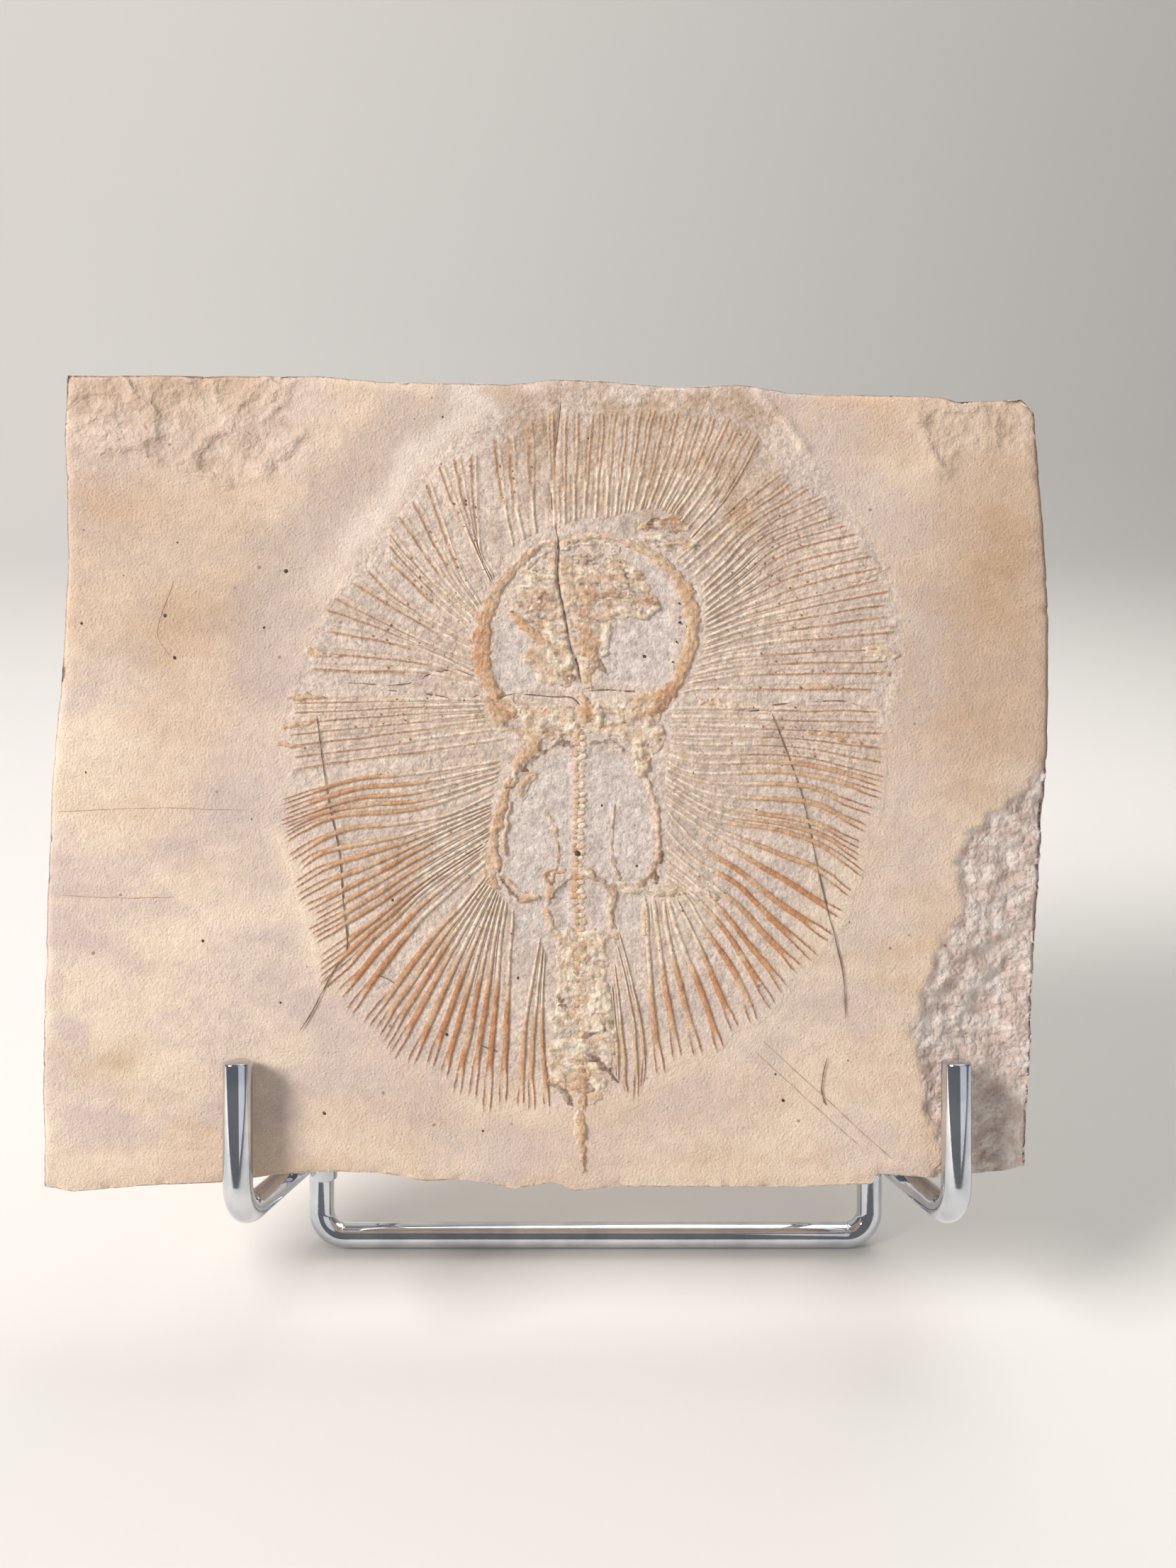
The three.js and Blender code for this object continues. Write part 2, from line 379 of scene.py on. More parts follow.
def make_object(name, vertices, faces, smooth=True):
    """A new object at the origin whose mesh is made of the given places, in metres."""
    mesh = bpy.data.meshes.new(name)
    mesh.from_pydata([tuple(place) for place in vertices], [], faces)
    mesh.validate()
    mesh.polygons.foreach_set("use_smooth", [smooth] * len(mesh.polygons))
    thing = bpy.data.objects.new(name, mesh)
    bpy.context.scene.collection.objects.link(thing)
    return thing


def lay_on_face(places):
    """Turns flat places (x, w, out) in millimetres into places on the leaning slab, in metres."""
    turn = np.array(FACE_TO_WORLD.to_3x3())
    return np.asarray(places, float) * MM @ turn.T + np.array(SEAT)


def store_values(mesh, **values):
    """Keeps one number for each vertex under each given name, for the materials to read."""
    for name, numbers in values.items():
        layer = mesh.attributes.new(name, "FLOAT", "POINT")
        layer.data.foreach_set("value", np.asarray(numbers, np.float32).ravel())


def finish_piece(piece, material=None):
    """Gives a piece its material and slot, and lets it ride on the part's one body."""
    if material is not None:
        piece.data.materials.clear()
        piece.data.materials.append(material)
    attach(piece, BODY)


def grid_steps(low, high, fine_low, fine_high, fine, coarse, multiple):
    """Places from low to high, closer together between fine_low and fine_high."""
    counts = [
        max(2, round((fine_low - low) / coarse)),
        max(2, round((fine_high - fine_low) / fine)),
        max(2, round((high - fine_high) / coarse)),
    ]
    counts[1] += -sum(counts) % multiple
    stretches = [
        np.linspace(low, fine_low, counts[0], endpoint=False),
        np.linspace(fine_low, fine_high, counts[1], endpoint=False),
        np.linspace(fine_high, high, counts[2] + 1),
    ]
    return (np.concatenate(stretches) - low) / (high - low)


def edge_point(edge, share, axis):
    """Where an edge is at a share of its run along one axis."""
    edge = np.array(edge, float)
    run = edge[0, axis] + share * (edge[-1, axis] - edge[0, axis])
    other = np.interp(run, edge[:, axis], edge[:, 1 - axis])
    return (run, other) if axis == 0 else (other, run)


def slab_face_grid(across, up):
    """The face's grid of places: the four edges, blended smoothly over the middle."""
    u, v = np.meshgrid(across, up, indexing="ij")
    bottom_x, bottom_w = edge_point(BOTTOM_EDGE, u, 0)
    top_x, top_w = edge_point(TOP_EDGE, u, 0)
    left_x, left_w = edge_point(LEFT_EDGE, v, 1)
    right_x, right_w = edge_point(RIGHT_EDGE, v, 1)
    corners = [np.array(edge[end], float) for edge, end in (
        (BOTTOM_EDGE, 0), (BOTTOM_EDGE, -1), (TOP_EDGE, 0), (TOP_EDGE, -1))]
    weights = [(1 - u) * (1 - v), u * (1 - v), (1 - u) * v, u * v]
    x = (1 - v) * bottom_x + v * top_x + (1 - u) * left_x + u * right_x
    w = (1 - v) * bottom_w + v * top_w + (1 - u) * left_w + u * right_w
    for corner, weight in zip(corners, weights):
        x = x - weight * corner[0]
        w = w - weight * corner[1]
    return x, w


def border_loop(columns, rows):
    """The grid's border, anticlockwise from the bottom left corner, as (column, row) pairs."""
    bottom = [(i, 0) for i in range(columns - 1)]
    right = [(columns - 1, j) for j in range(rows - 1)]
    top = [(i, rows - 1) for i in range(columns - 1, 0, -1)]
    left = [(0, j) for j in range(rows - 1, 0, -1)]
    return bottom + right + top + left


def grid_faces(index, flipped=False):
    """The four-sided faces of a grid of vertex numbers, facing the other way if flipped."""
    corners = (index[:-1, :-1], index[1:, :-1], index[1:, 1:], index[:-1, 1:])
    if flipped:
        corners = (corners[0], *corners[:0:-1])
    return np.stack(corners, axis=-1).reshape(-1, 4).tolist()


def outward_of(ring):
    """Outward directions along a closed ring, from each place's neighbours a few places away."""
    reach = 3
    tangent = np.roll(ring, -reach, axis=0) - np.roll(ring, reach, axis=0)
    outward = np.column_stack([tangent[:, 1], -tangent[:, 0]])
    return outward / np.hypot(outward[:, 0], outward[:, 1])[:, None]


def worn_face(x, w, ring):
    """The face, pulled in from the outline by a worn margin that fades within a few millimetres."""
    to_edge = distance_to(x, w, np.vstack([ring[::3], ring[:1]]))[0]
    wear = 0.26 + 0.12 * crags(x, w, 2.4, 71)
    shrink = wear * np.clip(1 - to_edge / 4, 0, 1)
    away = np.hypot(x, w - MIDDLE_HEIGHT) + 1e-6
    worn_x = x - shrink * x / away
    worn_w = w - shrink * (w - MIDDLE_HEIGHT) / away
    shares = face_shares(worn_x, worn_w)
    out = face_height(worn_x, worn_w, shares)
    nicks = ease(0.35, 1.0, hills(x, w, 2.1, 73)) * ease(1.6, 0, to_edge)
    out = out - 0.30 * ease(1.2, 0, to_edge) - 0.5 * nicks * (1 - shares["chip"])
    return worn_x, worn_w, out, shares


def side_rows(ring, front, settle, foot):
    """The rows of the sides, each further back and pulled in by its own rough amount."""
    outward = outward_of(ring)
    travel = np.concatenate([[0], np.cumsum(np.hypot(*np.diff(ring, axis=0).T))])
    rows = []
    for back, pull in ((0.35, 0.34), (0.9, 0.12), (1.8, 0.1), (3.6, 0.2), (5.6, 0.25), (7.8, 0.2),
                       (10.0, 0.3), (12.4, 0.2), (14.6, 0.25), (16.2, 0.15), (17.2, 0.2), (17.75, 0.6)):
        depth = np.maximum(back, -front + 0.25 * back / 17)
        depth = np.where(back > 8, back, depth)
        rough = pull + 0.30 * np.abs(crags(travel, depth * 1.6, 3.4, 81))
        rough = rough + 0.25 * ease(0.2, 0.9, hills(travel * 0.2, depth, 1.9, 85))
        side = ring - outward * rough[:, None]
        level = np.where(foot, ring[:, 1] + 0.15 * rough, side[:, 1])
        height = np.maximum(level + settle * depth / THICKNESS, REST_HEIGHT)
        rows.append(np.column_stack([side[:, 0], height, -depth]))
    return rows


def back_places(x, w, settle):
    """The back, broken in low ledges a little inside the outline."""
    away = np.hypot(x, w - MIDDLE_HEIGHT)
    inset = 1.6
    x = x - inset * x / away
    w = w - (inset * (w - MIDDLE_HEIGHT) / away - settle)
    beds = ledges(0.5 + 0.5 * crags(x * 0.8 + w * 0.3, w, 30, 91), 5)
    hollow = 0.8 * np.clip(1 - beds, 0, 1) + 0.12 * (1 + crags(x, w, 7, 95))
    return np.column_stack([x.ravel(), w.ravel(), (hollow - THICKNESS).ravel()])


def join_coarse_rim(fine, rim):
    """The faces between a fine loop and a rim with a quarter of its places."""
    step = 4
    faces = []
    for k, corner in enumerate(rim):
        following = rim[(k + 1) % len(rim)]
        run = [fine[(k * step + offset) % len(fine)] for offset in range(step + 1)]
        faces.append((run[0], corner, run[1]))
        faces.append((run[1], corner, run[2]))
        faces.append((run[2], corner, following))
        faces.append((run[2], following, run[3]))
        faces.append((run[3], following, run[4]))
    return faces


def slab_mesh(fine):
    """The whole slab as one closed mesh: the face, the broken sides and a plain back."""
    across = grid_steps(-78.7, 78.7, -46, 58, fine, fine * 1.42, 4)
    up = grid_steps(0.6, 128.3, 10, 127, fine, fine * 1.5, 4)
    columns, rows = len(across), len(up)
    x, w = slab_face_grid(across, up)
    border = border_loop(columns, rows)
    ring = np.array([(x[i, j], w[i, j]) for i, j in border])
    worn_x, worn_w, out, shares = worn_face(x, w, ring)
    places = [np.column_stack([worn_x.ravel(), worn_w.ravel(), out.ravel()])]
    index = np.arange(columns * rows).reshape(columns, rows)
    faces = grid_faces(index)

    # Behind the face, the slab's foot comes down on the arms of the stand.
    settle = (REST_HEIGHT - w[:, :1]) * np.clip(1 - 6 * up, 0, 1)
    front, ring_settle = [np.array([grid[i, j] for i, j in border]) for grid in (out, settle)]
    foot = np.array([j == 0 for _, j in border])
    loops = [[index[i, j] for i, j in border]]
    count = columns * rows
    for row in side_rows(ring, front, ring_settle, foot):
        places.append(row)
        loops.append(list(range(count, count + len(border))))
        count += len(border)
    for near, far in zip(loops, loops[1:]):
        for k in range(len(border)):
            after = (k + 1) % len(border)
            faces.append((near[k], far[k], far[after], near[after]))

    # The back is a grid with a quarter of the face's steps, joined to the last row of the sides.
    coarse = slice(None, None, 4)
    places.append(back_places(x[coarse, coarse], w[coarse, coarse], settle[coarse, coarse]))
    back_index = count + np.arange(len(places[-1])).reshape(x[coarse, coarse].shape)
    faces += grid_faces(back_index, flipped=True)
    rim = [back_index[i, j] for i, j in border_loop(*back_index.shape)]
    faces += join_coarse_rim(loops[-1], rim)
    places = np.vstack(places)
    total = len(places)

    def padded(values, beyond):
        return np.concatenate([np.ravel(values), np.full(total - columns * rows, beyond)])

    values = {name: padded(shares[name], 0.0) for name in (*FOSSIL_SHARES, "flakes", "tan_blotch")}
    values["chip"] = padded(shares["chip"], 0.45)
    return places, faces, values


Stroke = namedtuple("Stroke", "points width height tone dark rough", defaults=(0.4, 0.0, 0.12))
Rubble = namedtuple("Rubble", "loop height size tone dark")


def along_stroke(value, share):
    """A stroke's value at a share of its length; it is one number or several evenly spaced ones."""
    levels = np.atleast_1d(value).astype(float)
    return np.interp(share, np.linspace(0, 1, len(levels)), levels)


def closed_cells(number, cells, count):
    """The faces over and under a patchy grid, with a wall wherever a cell has no neighbour."""
    around = np.pad(cells, 1)
    faces = []
    for i, j in zip(*np.nonzero(cells)):
        a, b, c, d = number[i, j], number[i + 1, j], number[i + 1, j + 1], number[i, j + 1]
        faces.append((a, b, c, d))
        faces.append((a + count, d + count, c + count, b + count))
        for first, second, across, up in ((a, b, 0, -1), (b, c, 1, 0), (c, d, 0, 1), (d, a, -1, 0)):
            if not around[i + 1 + across, j + 1 + up]:
                faces.append((first, first + count, second + count, second))
    return faces


def bone_piece(name, strokes, rubble, seed, cell):
    """Bone that stands a little out of the stone: a fine height field over a list of strokes and
    patches of rubble, cut off where it has sunk into the face and closed underneath."""
    reach = [max(np.atleast_1d(stroke.width)) for stroke in strokes]
    corners = np.vstack([np.array(stroke.points, float) for stroke in strokes]
                        + [np.array(patch.loop, float) for patch in rubble])
    low, high = corners.min(axis=0) - max(reach), corners.max(axis=0) + max(reach)
    across = np.arange(low[0], high[0], cell)
    up = np.arange(low[1], high[1], cell)
    x, w = np.meshgrid(across, up, indexing="ij")
    wobble = 0.5 * hills(x, w, 1.7, seed) + 0.6 * hills(x, w, 0.7, seed + 1)
    lumps = crags(x * 0.6 + 0.3 * w, w, 1.0, seed + 2, 3)
    fibres = hills(x * 0.3 + 0.15 * w, w, 0.72, seed + 7) + 0.3 * hills(x, w, 0.5, seed + 8)
    splinters = 1 - 2 * np.abs(fibres)
    bent_x = x + 0.26 * hills(x, w, 1.3, seed + 10) + 0.26 * hills(x, w, 0.5, seed + 11)
    bent_w = w + 0.26 * hills(x, w, 1.3, seed + 12) + 0.26 * hills(x, w, 0.5, seed + 13)
    height = np.full(x.shape, BURIED)
    tone = np.zeros(x.shape)
    dark = np.zeros(x.shape)
    for patch in rubble:
        within = depth_inside(bent_x, bent_w, np.array(patch.loop, float))
        broken = 1 - 2.2 * np.abs(crags(x * 0.6, w * 1.4, patch.size, seed + 30, 3))
        swell = patch.height * (0.25 + 0.6 * broken + 0.25 * lumps + 0.55 * splinters)
        swell = swell - 0.5 * ease(0.6, -0.4, within)
        higher = swell > height
        height = np.where(higher, swell, height)
        tone = np.where(higher, patch.tone + 0.45 * hills(x, w, 1.5, seed + 33), tone)
        # Painted shade: besides its own patchy darkness, rubble is darkened where it is broken low and in its
        # creases.
        shade = patch.dark * ease(0.0, 0.7, hills(x, w, 1.2, seed + 35)) + 0.5 * ease(0.35, -0.1, broken)
        shade = shade + 0.5 * ease(0.3, -0.4, splinters)
        dark = np.where(higher, shade, dark)
    for stroke in strokes:
        line = smooth_line(stroke.points, max(6, 4 * len(stroke.points)))
        gap, share = distance_to(bent_x, bent_w, line)
        half = along_stroke(stroke.width, share) / 2 * (1 + 0.3 * wobble)
        dome = 1 - (gap / np.maximum(half, 0.05))**2
        swell = 0.7 * along_stroke(stroke.height, share) * np.sign(dome) * np.abs(dome)**0.45
        grooves = 0.05 * np.cos(gap * 8.5 + 2.0 * wobble)
        broken = stroke.rough * (lumps * 1.5 + 0.7 * splinters - 0.3)
        swell = swell + (grooves + broken) * np.clip(dome * 2, 0, 1)
        swell = np.maximum(swell, BURIED)
        higher = swell > height
        height = np.where(higher, swell, height)
        tone = np.where(higher, along_stroke(stroke.tone, share) * 0.9 + 0.12 * wobble, tone)
        # Painted shade in the creases and the low parts of the grooves, added to the stroke's own darkness.
        crease_shade = 0.35 * ease(0.0, -0.6, splinters) * min(1, stroke.rough * 5)
        shade = along_stroke(stroke.dark, share) - 1.6 * np.minimum(grooves, 0) + crease_shade
        dark = np.where(higher, shade, dark)
    for line in CRACK_LINES:
        height = height - 0.3 * ease(0.42, 0.1, distance_to(x, w, line)[0])
    shown = height > -0.04
    cells = shown[:-1, :-1] | shown[1:, :-1] | shown[1:, 1:] | shown[:-1, 1:]
    used = np.zeros(x.shape, bool)
    for di in (0, 1):
        for dj in (0, 1):
            used[di:x.shape[0] - 1 + di, dj:x.shape[1] - 1 + dj] |= cells
    shares = face_shares(x[used], w[used])
    surface = face_height(x[used], w[used], shares)
    top = surface + np.clip(height[used], -0.25, None)
    bottom = surface - UNDERSIDE
    number = np.full(x.shape, -1)
    number[used] = np.arange(used.sum())
    count = int(used.sum())
    faces = closed_cells(number, cells, count)
    flat = [np.column_stack([x[used], w[used], level]) for level in (top, bottom)]
    piece = make_object(name, lay_on_face(np.vstack(flat)), faces)
    bone = ease(-0.05, 0.16, height[used]) * (0.85 + 0.15 * hills(x[used], w[used], 0.9, seed + 5))
    values = {"tone": tone[used], "dark": dark[used], "bone": bone}
    values.update({label: shares[label] for label in FOSSIL_SHARES})
    store_values(piece.data, **{label: np.tile(numbers, 2) for label, numbers in values.items()})
    return piece


# ---------------------------------------------------------------------------------------------
# Geometry node trees for what repeats or follows a path.


class Nodes:
    """A short way to add nodes and links to a tree."""

    def __init__(self, tree):
        self.tree = tree

    def add(self, kind, settings=None, **inputs):
        node = self.tree.nodes.new(kind)
        for label, value in (settings or {}).items():
            setattr(node, label, value)
        for label, value in inputs.items():
            self.feed(node, label.replace("_", " "), value)
        return node

    def feed(self, node, label, value):
        """Gives a node's input a value or a link."""
        self.fill(next(s for s in node.inputs if s.name == label and s.enabled), value)

    def fill(self, socket, value):
        if isinstance(value, bpy.types.NodeSocket):
            self.tree.links.new(value, socket)
        else:
            socket.default_value = value


class NodeTree(Nodes):
    """A new geometry node tree with its inputs."""

    def __init__(self, name, inputs):
        super().__init__(bpy.data.node_groups.new(name, "GeometryNodeTree"))
        self.sockets = {}
        sides = self.tree.interface
        sides.new_socket("Geometry", in_out="INPUT", socket_type="NodeSocketGeometry")
        for label, kind, value in inputs:
            socket = sides.new_socket(label, in_out="INPUT", socket_type="NodeSocket" + kind)
            if value is not None:
                socket.default_value = value
            self.sockets[label] = socket.identifier
        sides.new_socket("Geometry", in_out="OUTPUT", socket_type="NodeSocketGeometry")
        self.start = self.tree.nodes.new("NodeGroupInput")
        self.end = self.tree.nodes.new("NodeGroupOutput")

    def given(self, label):
        return self.start.outputs[label]

    def named(self, name):
        node = self.tree.nodes.new("GeometryNodeInputNamedAttribute")
        node.inputs["Name"].default_value = name
        return next(s for s in node.outputs if s.name == "Attribute" and s.enabled)

    def close(self, geometry):
        """Ends the tree in Realize Instances and Set Material."""
        real = self.add("GeometryNodeRealizeInstances", Geometry=geometry)
        painted = self.add("GeometryNodeSetMaterial", Geometry=real.outputs[0],
                           Material=self.given("Material"))
        self.tree.links.new(painted.outputs[0], self.end.inputs[0])
        return self


def onto_face(tree, geometry):
    """Lays flat geometry on the leaning slab."""
    return tree.add("GeometryNodeTransform", Geometry=geometry, Translation=SEAT,
                    Rotation=(FACE_TURN, 0, 0)).outputs[0]


def ridge_tree():
    """Low rounded ridges along paths that lie on the face."""
    tree = NodeTree("Ridges Along Paths", [
        ("Sides", "Int", 8), ("Flatness", "Float", 0.5), ("Samples", "Int", 30),
        ("Material", "Material", None),
    ])
    curve = tree.add("GeometryNodeMeshToCurve", Mesh=tree.given("Geometry"))
    even = tree.add("GeometryNodeResampleCurve", {"mode": "COUNT"}, Curve=curve.outputs[0],
                    Count=tree.given("Samples"))
    level = tree.add("GeometryNodeSetCurveNormal", {"mode": "Z_UP"}, Curve=even.outputs[0])
    ring = tree.add("GeometryNodeCurvePrimitiveCircle", {"mode": "RADIUS"}, Radius=1.0,
                    Resolution=tree.given("Sides"))
    shape = tree.add("ShaderNodeCombineXYZ", X=1.0, Y=tree.given("Flatness"), Z=1.0)
    section = tree.add("GeometryNodeTransform", Geometry=ring.outputs["Curve"], Scale=shape.outputs[0])
    swept = tree.add("GeometryNodeCurveToMesh", Curve=level.outputs[0], Profile_Curve=section.outputs[0],
                     Scale=tree.named("half_width"), Fill_Caps=True)
    soft = tree.add("GeometryNodeSetShadeSmooth", Geometry=swept.outputs[0])
    return tree.close(onto_face(tree, soft.outputs[0]))


def uneven_grains(tree, points, detail, broad, spin, depth):
    """A grain on each point, unevenly broad and turned, laid smoothly on the face."""
    grain = tree.add("GeometryNodeMeshIcoSphere", Radius=1.0, Subdivisions=detail)
    width, angle = [
        tree.add("FunctionNodeRandomValue", {"data_type": "FLOAT"}, Min=low, Max=high,
                 Seed=tree.given("Seed")).outputs[1]
        for low, high in (broad, spin)]
    turn = tree.add("ShaderNodeCombineXYZ", X=0.0, Y=0.0, Z=angle)
    shape = tree.add("ShaderNodeCombineXYZ", X=width, Y=depth, Z=tree.given("Flatness"))
    scale = tree.add("ShaderNodeVectorMath", {"operation": "SCALE"}, Vector=shape.outputs[0],
                     Scale=tree.named("half_width"))
    placed = tree.add("GeometryNodeInstanceOnPoints", Points=points, Instance=grain.outputs[0],
                      Rotation=turn.outputs[0], Scale=scale.outputs[0])
    real = tree.add("GeometryNodeRealizeInstances", Geometry=placed.outputs[0])
    soft = tree.add("GeometryNodeSetShadeSmooth", Geometry=real.outputs[0])
    return tree.close(onto_face(tree, soft.outputs[0]))


def dot_tree():
    """Small flattened grains, one on each place of a cloud that lies on the face."""
    tree = NodeTree("Grains On Places", [
        ("Flatness", "Float", 0.5), ("Seed", "Int", 1), ("Material", "Material", None),
    ])
    return uneven_grains(tree, tree.given("Geometry"), 2, (0.75, 1.35), (0.0, 6.28), 1.0)


def bead_tree():
    """Beads at even steps along paths on the face, each a little uneven and turned."""
    tree = NodeTree("Beads Along Paths", [
        ("Spacing", "Float", 0.001), ("Flatness", "Float", 0.6), ("Seed", "Int", 1),
        ("Material", "Material", None),
    ])
    curve = tree.add("GeometryNodeMeshToCurve", Mesh=tree.given("Geometry"))
    points = tree.add("GeometryNodeCurveToPoints", {"mode": "LENGTH"}, Curve=curve.outputs[0],
                      Length=tree.given("Spacing"))
    nudge = tree.add("FunctionNodeRandomValue", {"data_type": "FLOAT_VECTOR"}, Min=(-0.0002, -0.0003, 0),
                     Max=(0.0002, 0.0003, 0), Seed=tree.given("Seed"))
    moved = tree.add("GeometryNodeSetPosition", Geometry=points.outputs[0], Offset=nudge.outputs[0])
    return uneven_grains(tree, moved.outputs[0], 3, (0.8, 1.2), (-0.35, 0.35), 0.66)


def wire_tree():
    """A round wire along straight runs, with a round bend at each corner and flat ends."""
    tree = NodeTree("Bent Wire", [
        ("Wire Radius", "Float", 0.00225), ("Bend Steps", "Int", 12), ("Sides", "Int", 40),
        ("Material", "Material", None),
    ])
    curve = tree.add("GeometryNodeMeshToCurve", Mesh=tree.given("Geometry"))
    bent = tree.add("GeometryNodeFilletCurve", {"mode": "POLY"}, Curve=curve.outputs[0],
                    Count=tree.given("Bend Steps"), Radius=tree.named("bend"))
    ring = tree.add("GeometryNodeCurvePrimitiveCircle", {"mode": "RADIUS"},
                    Radius=tree.given("Wire Radius"), Resolution=tree.given("Sides"))
    swept = tree.add("GeometryNodeCurveToMesh", Curve=bent.outputs[0], Profile_Curve=ring.outputs["Curve"],
                     Scale=tree.named("share"), Fill_Caps=True)
    return tree.close(swept.outputs[0])


def grow(name, tree, source, settings):
    """Runs a node tree on a source mesh and returns the result as a plain object."""
    modifier = source.modifiers.new(name, "NODES")
    modifier.node_group = tree.tree
    for label, value in settings.items():
        modifier[tree.sockets[label]] = value
    graph = bpy.context.evaluated_depsgraph_get()
    mesh = bpy.data.meshes.new_from_object(source.evaluated_get(graph), depsgraph=graph)
    source.modifiers.remove(modifier)
    bpy.data.objects.remove(source)
    mesh.name = name
    piece = bpy.data.objects.new(name, mesh)
    bpy.context.scene.collection.objects.link(piece)
    return piece


def path_source(name, paths, **values):
    """Loose edges along flat paths [(x, w, out), ...] in millimetres, with values for each place."""
    places = np.vstack(paths) * MM
    edges, first = [], 0
    for path in paths:
        edges += [(first + k, first + k + 1) for k in range(len(path) - 1)]
        first += len(path)
    mesh = bpy.data.meshes.new(name + "_paths")
    mesh.from_pydata([tuple(place) for place in places], edges, [])
    store_values(mesh, **values)
    source = bpy.data.objects.new(name + "_paths", mesh)
    bpy.context.scene.collection.objects.link(source)
    return source


def on_surface(line, lift):
    """A flat line laid on the stone's own surface, raised by lift."""
    return np.column_stack([line, face_height(line[:, 0], line[:, 1]) + lift])


# ---------------------------------------------------------------------------------------------
# The rays of the fins. Each fan is a list of groups; a group has the gap between its rays at
# their tips, how rusty they are, how wide, whether they fork, and a few rays given from
# root to tip. The rays between those are worked out.

Group = namedtuple("Group", "gap rust width fork rays")

LEFT_FAN = [
    Group(3.0, 0.3, 0.9, False, [
        [(-1.5, 103), (-2, 108.5), (-2.4, 121)],
        [(-3.3, 102), (-4.7, 108.7), (-5.5, 119)],
        [(-5, 101), (-6.5, 108.5), (-8, 120)],
        [(-8, 96), (-10.5, 102), (-11.3, 117)],
        [(-8.5, 95.5), (-11, 101), (-14, 107.5), (-16.7, 115)],
        [(-10, 92), (-13.5, 98), (-15.8, 104), (-18.5, 112)],
        [(-11, 90), (-16.5, 95), (-20.5, 99), (-25, 104.5)],
        [(-12, 88.5), (-17, 92.5), (-20, 95.5), (-24.7, 100)],
        [(-11, 86), (-16, 89), (-22.5, 93), (-28.5, 99)],
        [(-11, 85), (-20, 90), (-31.5, 97)],
        [(-10.8, 83.5), (-20, 87), (-33.5, 94.2)],
        [(-10.5, 82), (-25, 88.5), (-35.5, 92.5)],
        [(-10, 81), (-20, 85.5), (-35.5, 89)],
        [(-10, 80.5), (-20, 83.5), (-37.5, 85.3)],
        [(-9.5, 79.5), (-20, 82), (-37, 82.5)],
    ]),
    Group(2.2, 0.45, 0.85, False, [
        [(-9, 77.5), (-20, 77.5), (-40, 77.3)],
        [(-9, 76), (-20, 75.5), (-41, 74)],
        [(-8, 74.5), (-20, 73), (-41, 70.5)],
        [(-6, 71.5), (-20, 69.5), (-40, 67)],
    ]),
    Group(2.0, 0.7, 0.9, True, [
        [(-6.5, 68), (-20, 66), (-30, 65), (-44.5, 60.5)],
        [(-6.5, 66.5), (-20, 63), (-30, 62), (-43, 57.5)],
        [(-7, 65), (-20, 60.5), (-34, 59), (-42.5, 54.5)],
        [(-7.5, 63), (-17, 59), (-32, 57), (-41.5, 52)],
        [(-8, 61.5), (-20, 57), (-26, 55.5), (-35, 53.5), (-40.5, 50)],
        [(-8, 60), (-20, 54), (-28, 49.5), (-39, 44)],
        [(-8.3, 57), (-20, 50), (-27, 45), (-37.3, 39)],
    ]),
    Group(2.5, 0.88, 1.12, True, [
        [(-8.4, 56), (-19, 49.2), (-26, 43.6), (-37, 35.6)],
        [(-8.5, 55), (-18, 48.5), (-25, 42), (-36, 31.5)],
        [(-8.5, 53), (-16, 46.5), (-21, 41.5), (-32, 27)],
        [(-8.5, 51), (-13, 45.5), (-18, 40), (-28.5, 26)],
        [(-8, 49.5), (-12, 43), (-17, 34), (-24.4, 21)],
        [(-7.5, 48), (-10.5, 41), (-13.5, 33), (-19, 18)],
        [(-7, 47.5), (-9, 40), (-11, 30), (-14.3, 14.5)],
        [(-6, 46.5), (-7, 40), (-7.8, 30), (-9.4, 12)],
        [(-5, 45), (-5.5, 38), (-6, 28), (-6.8, 13)],
    ]),
]

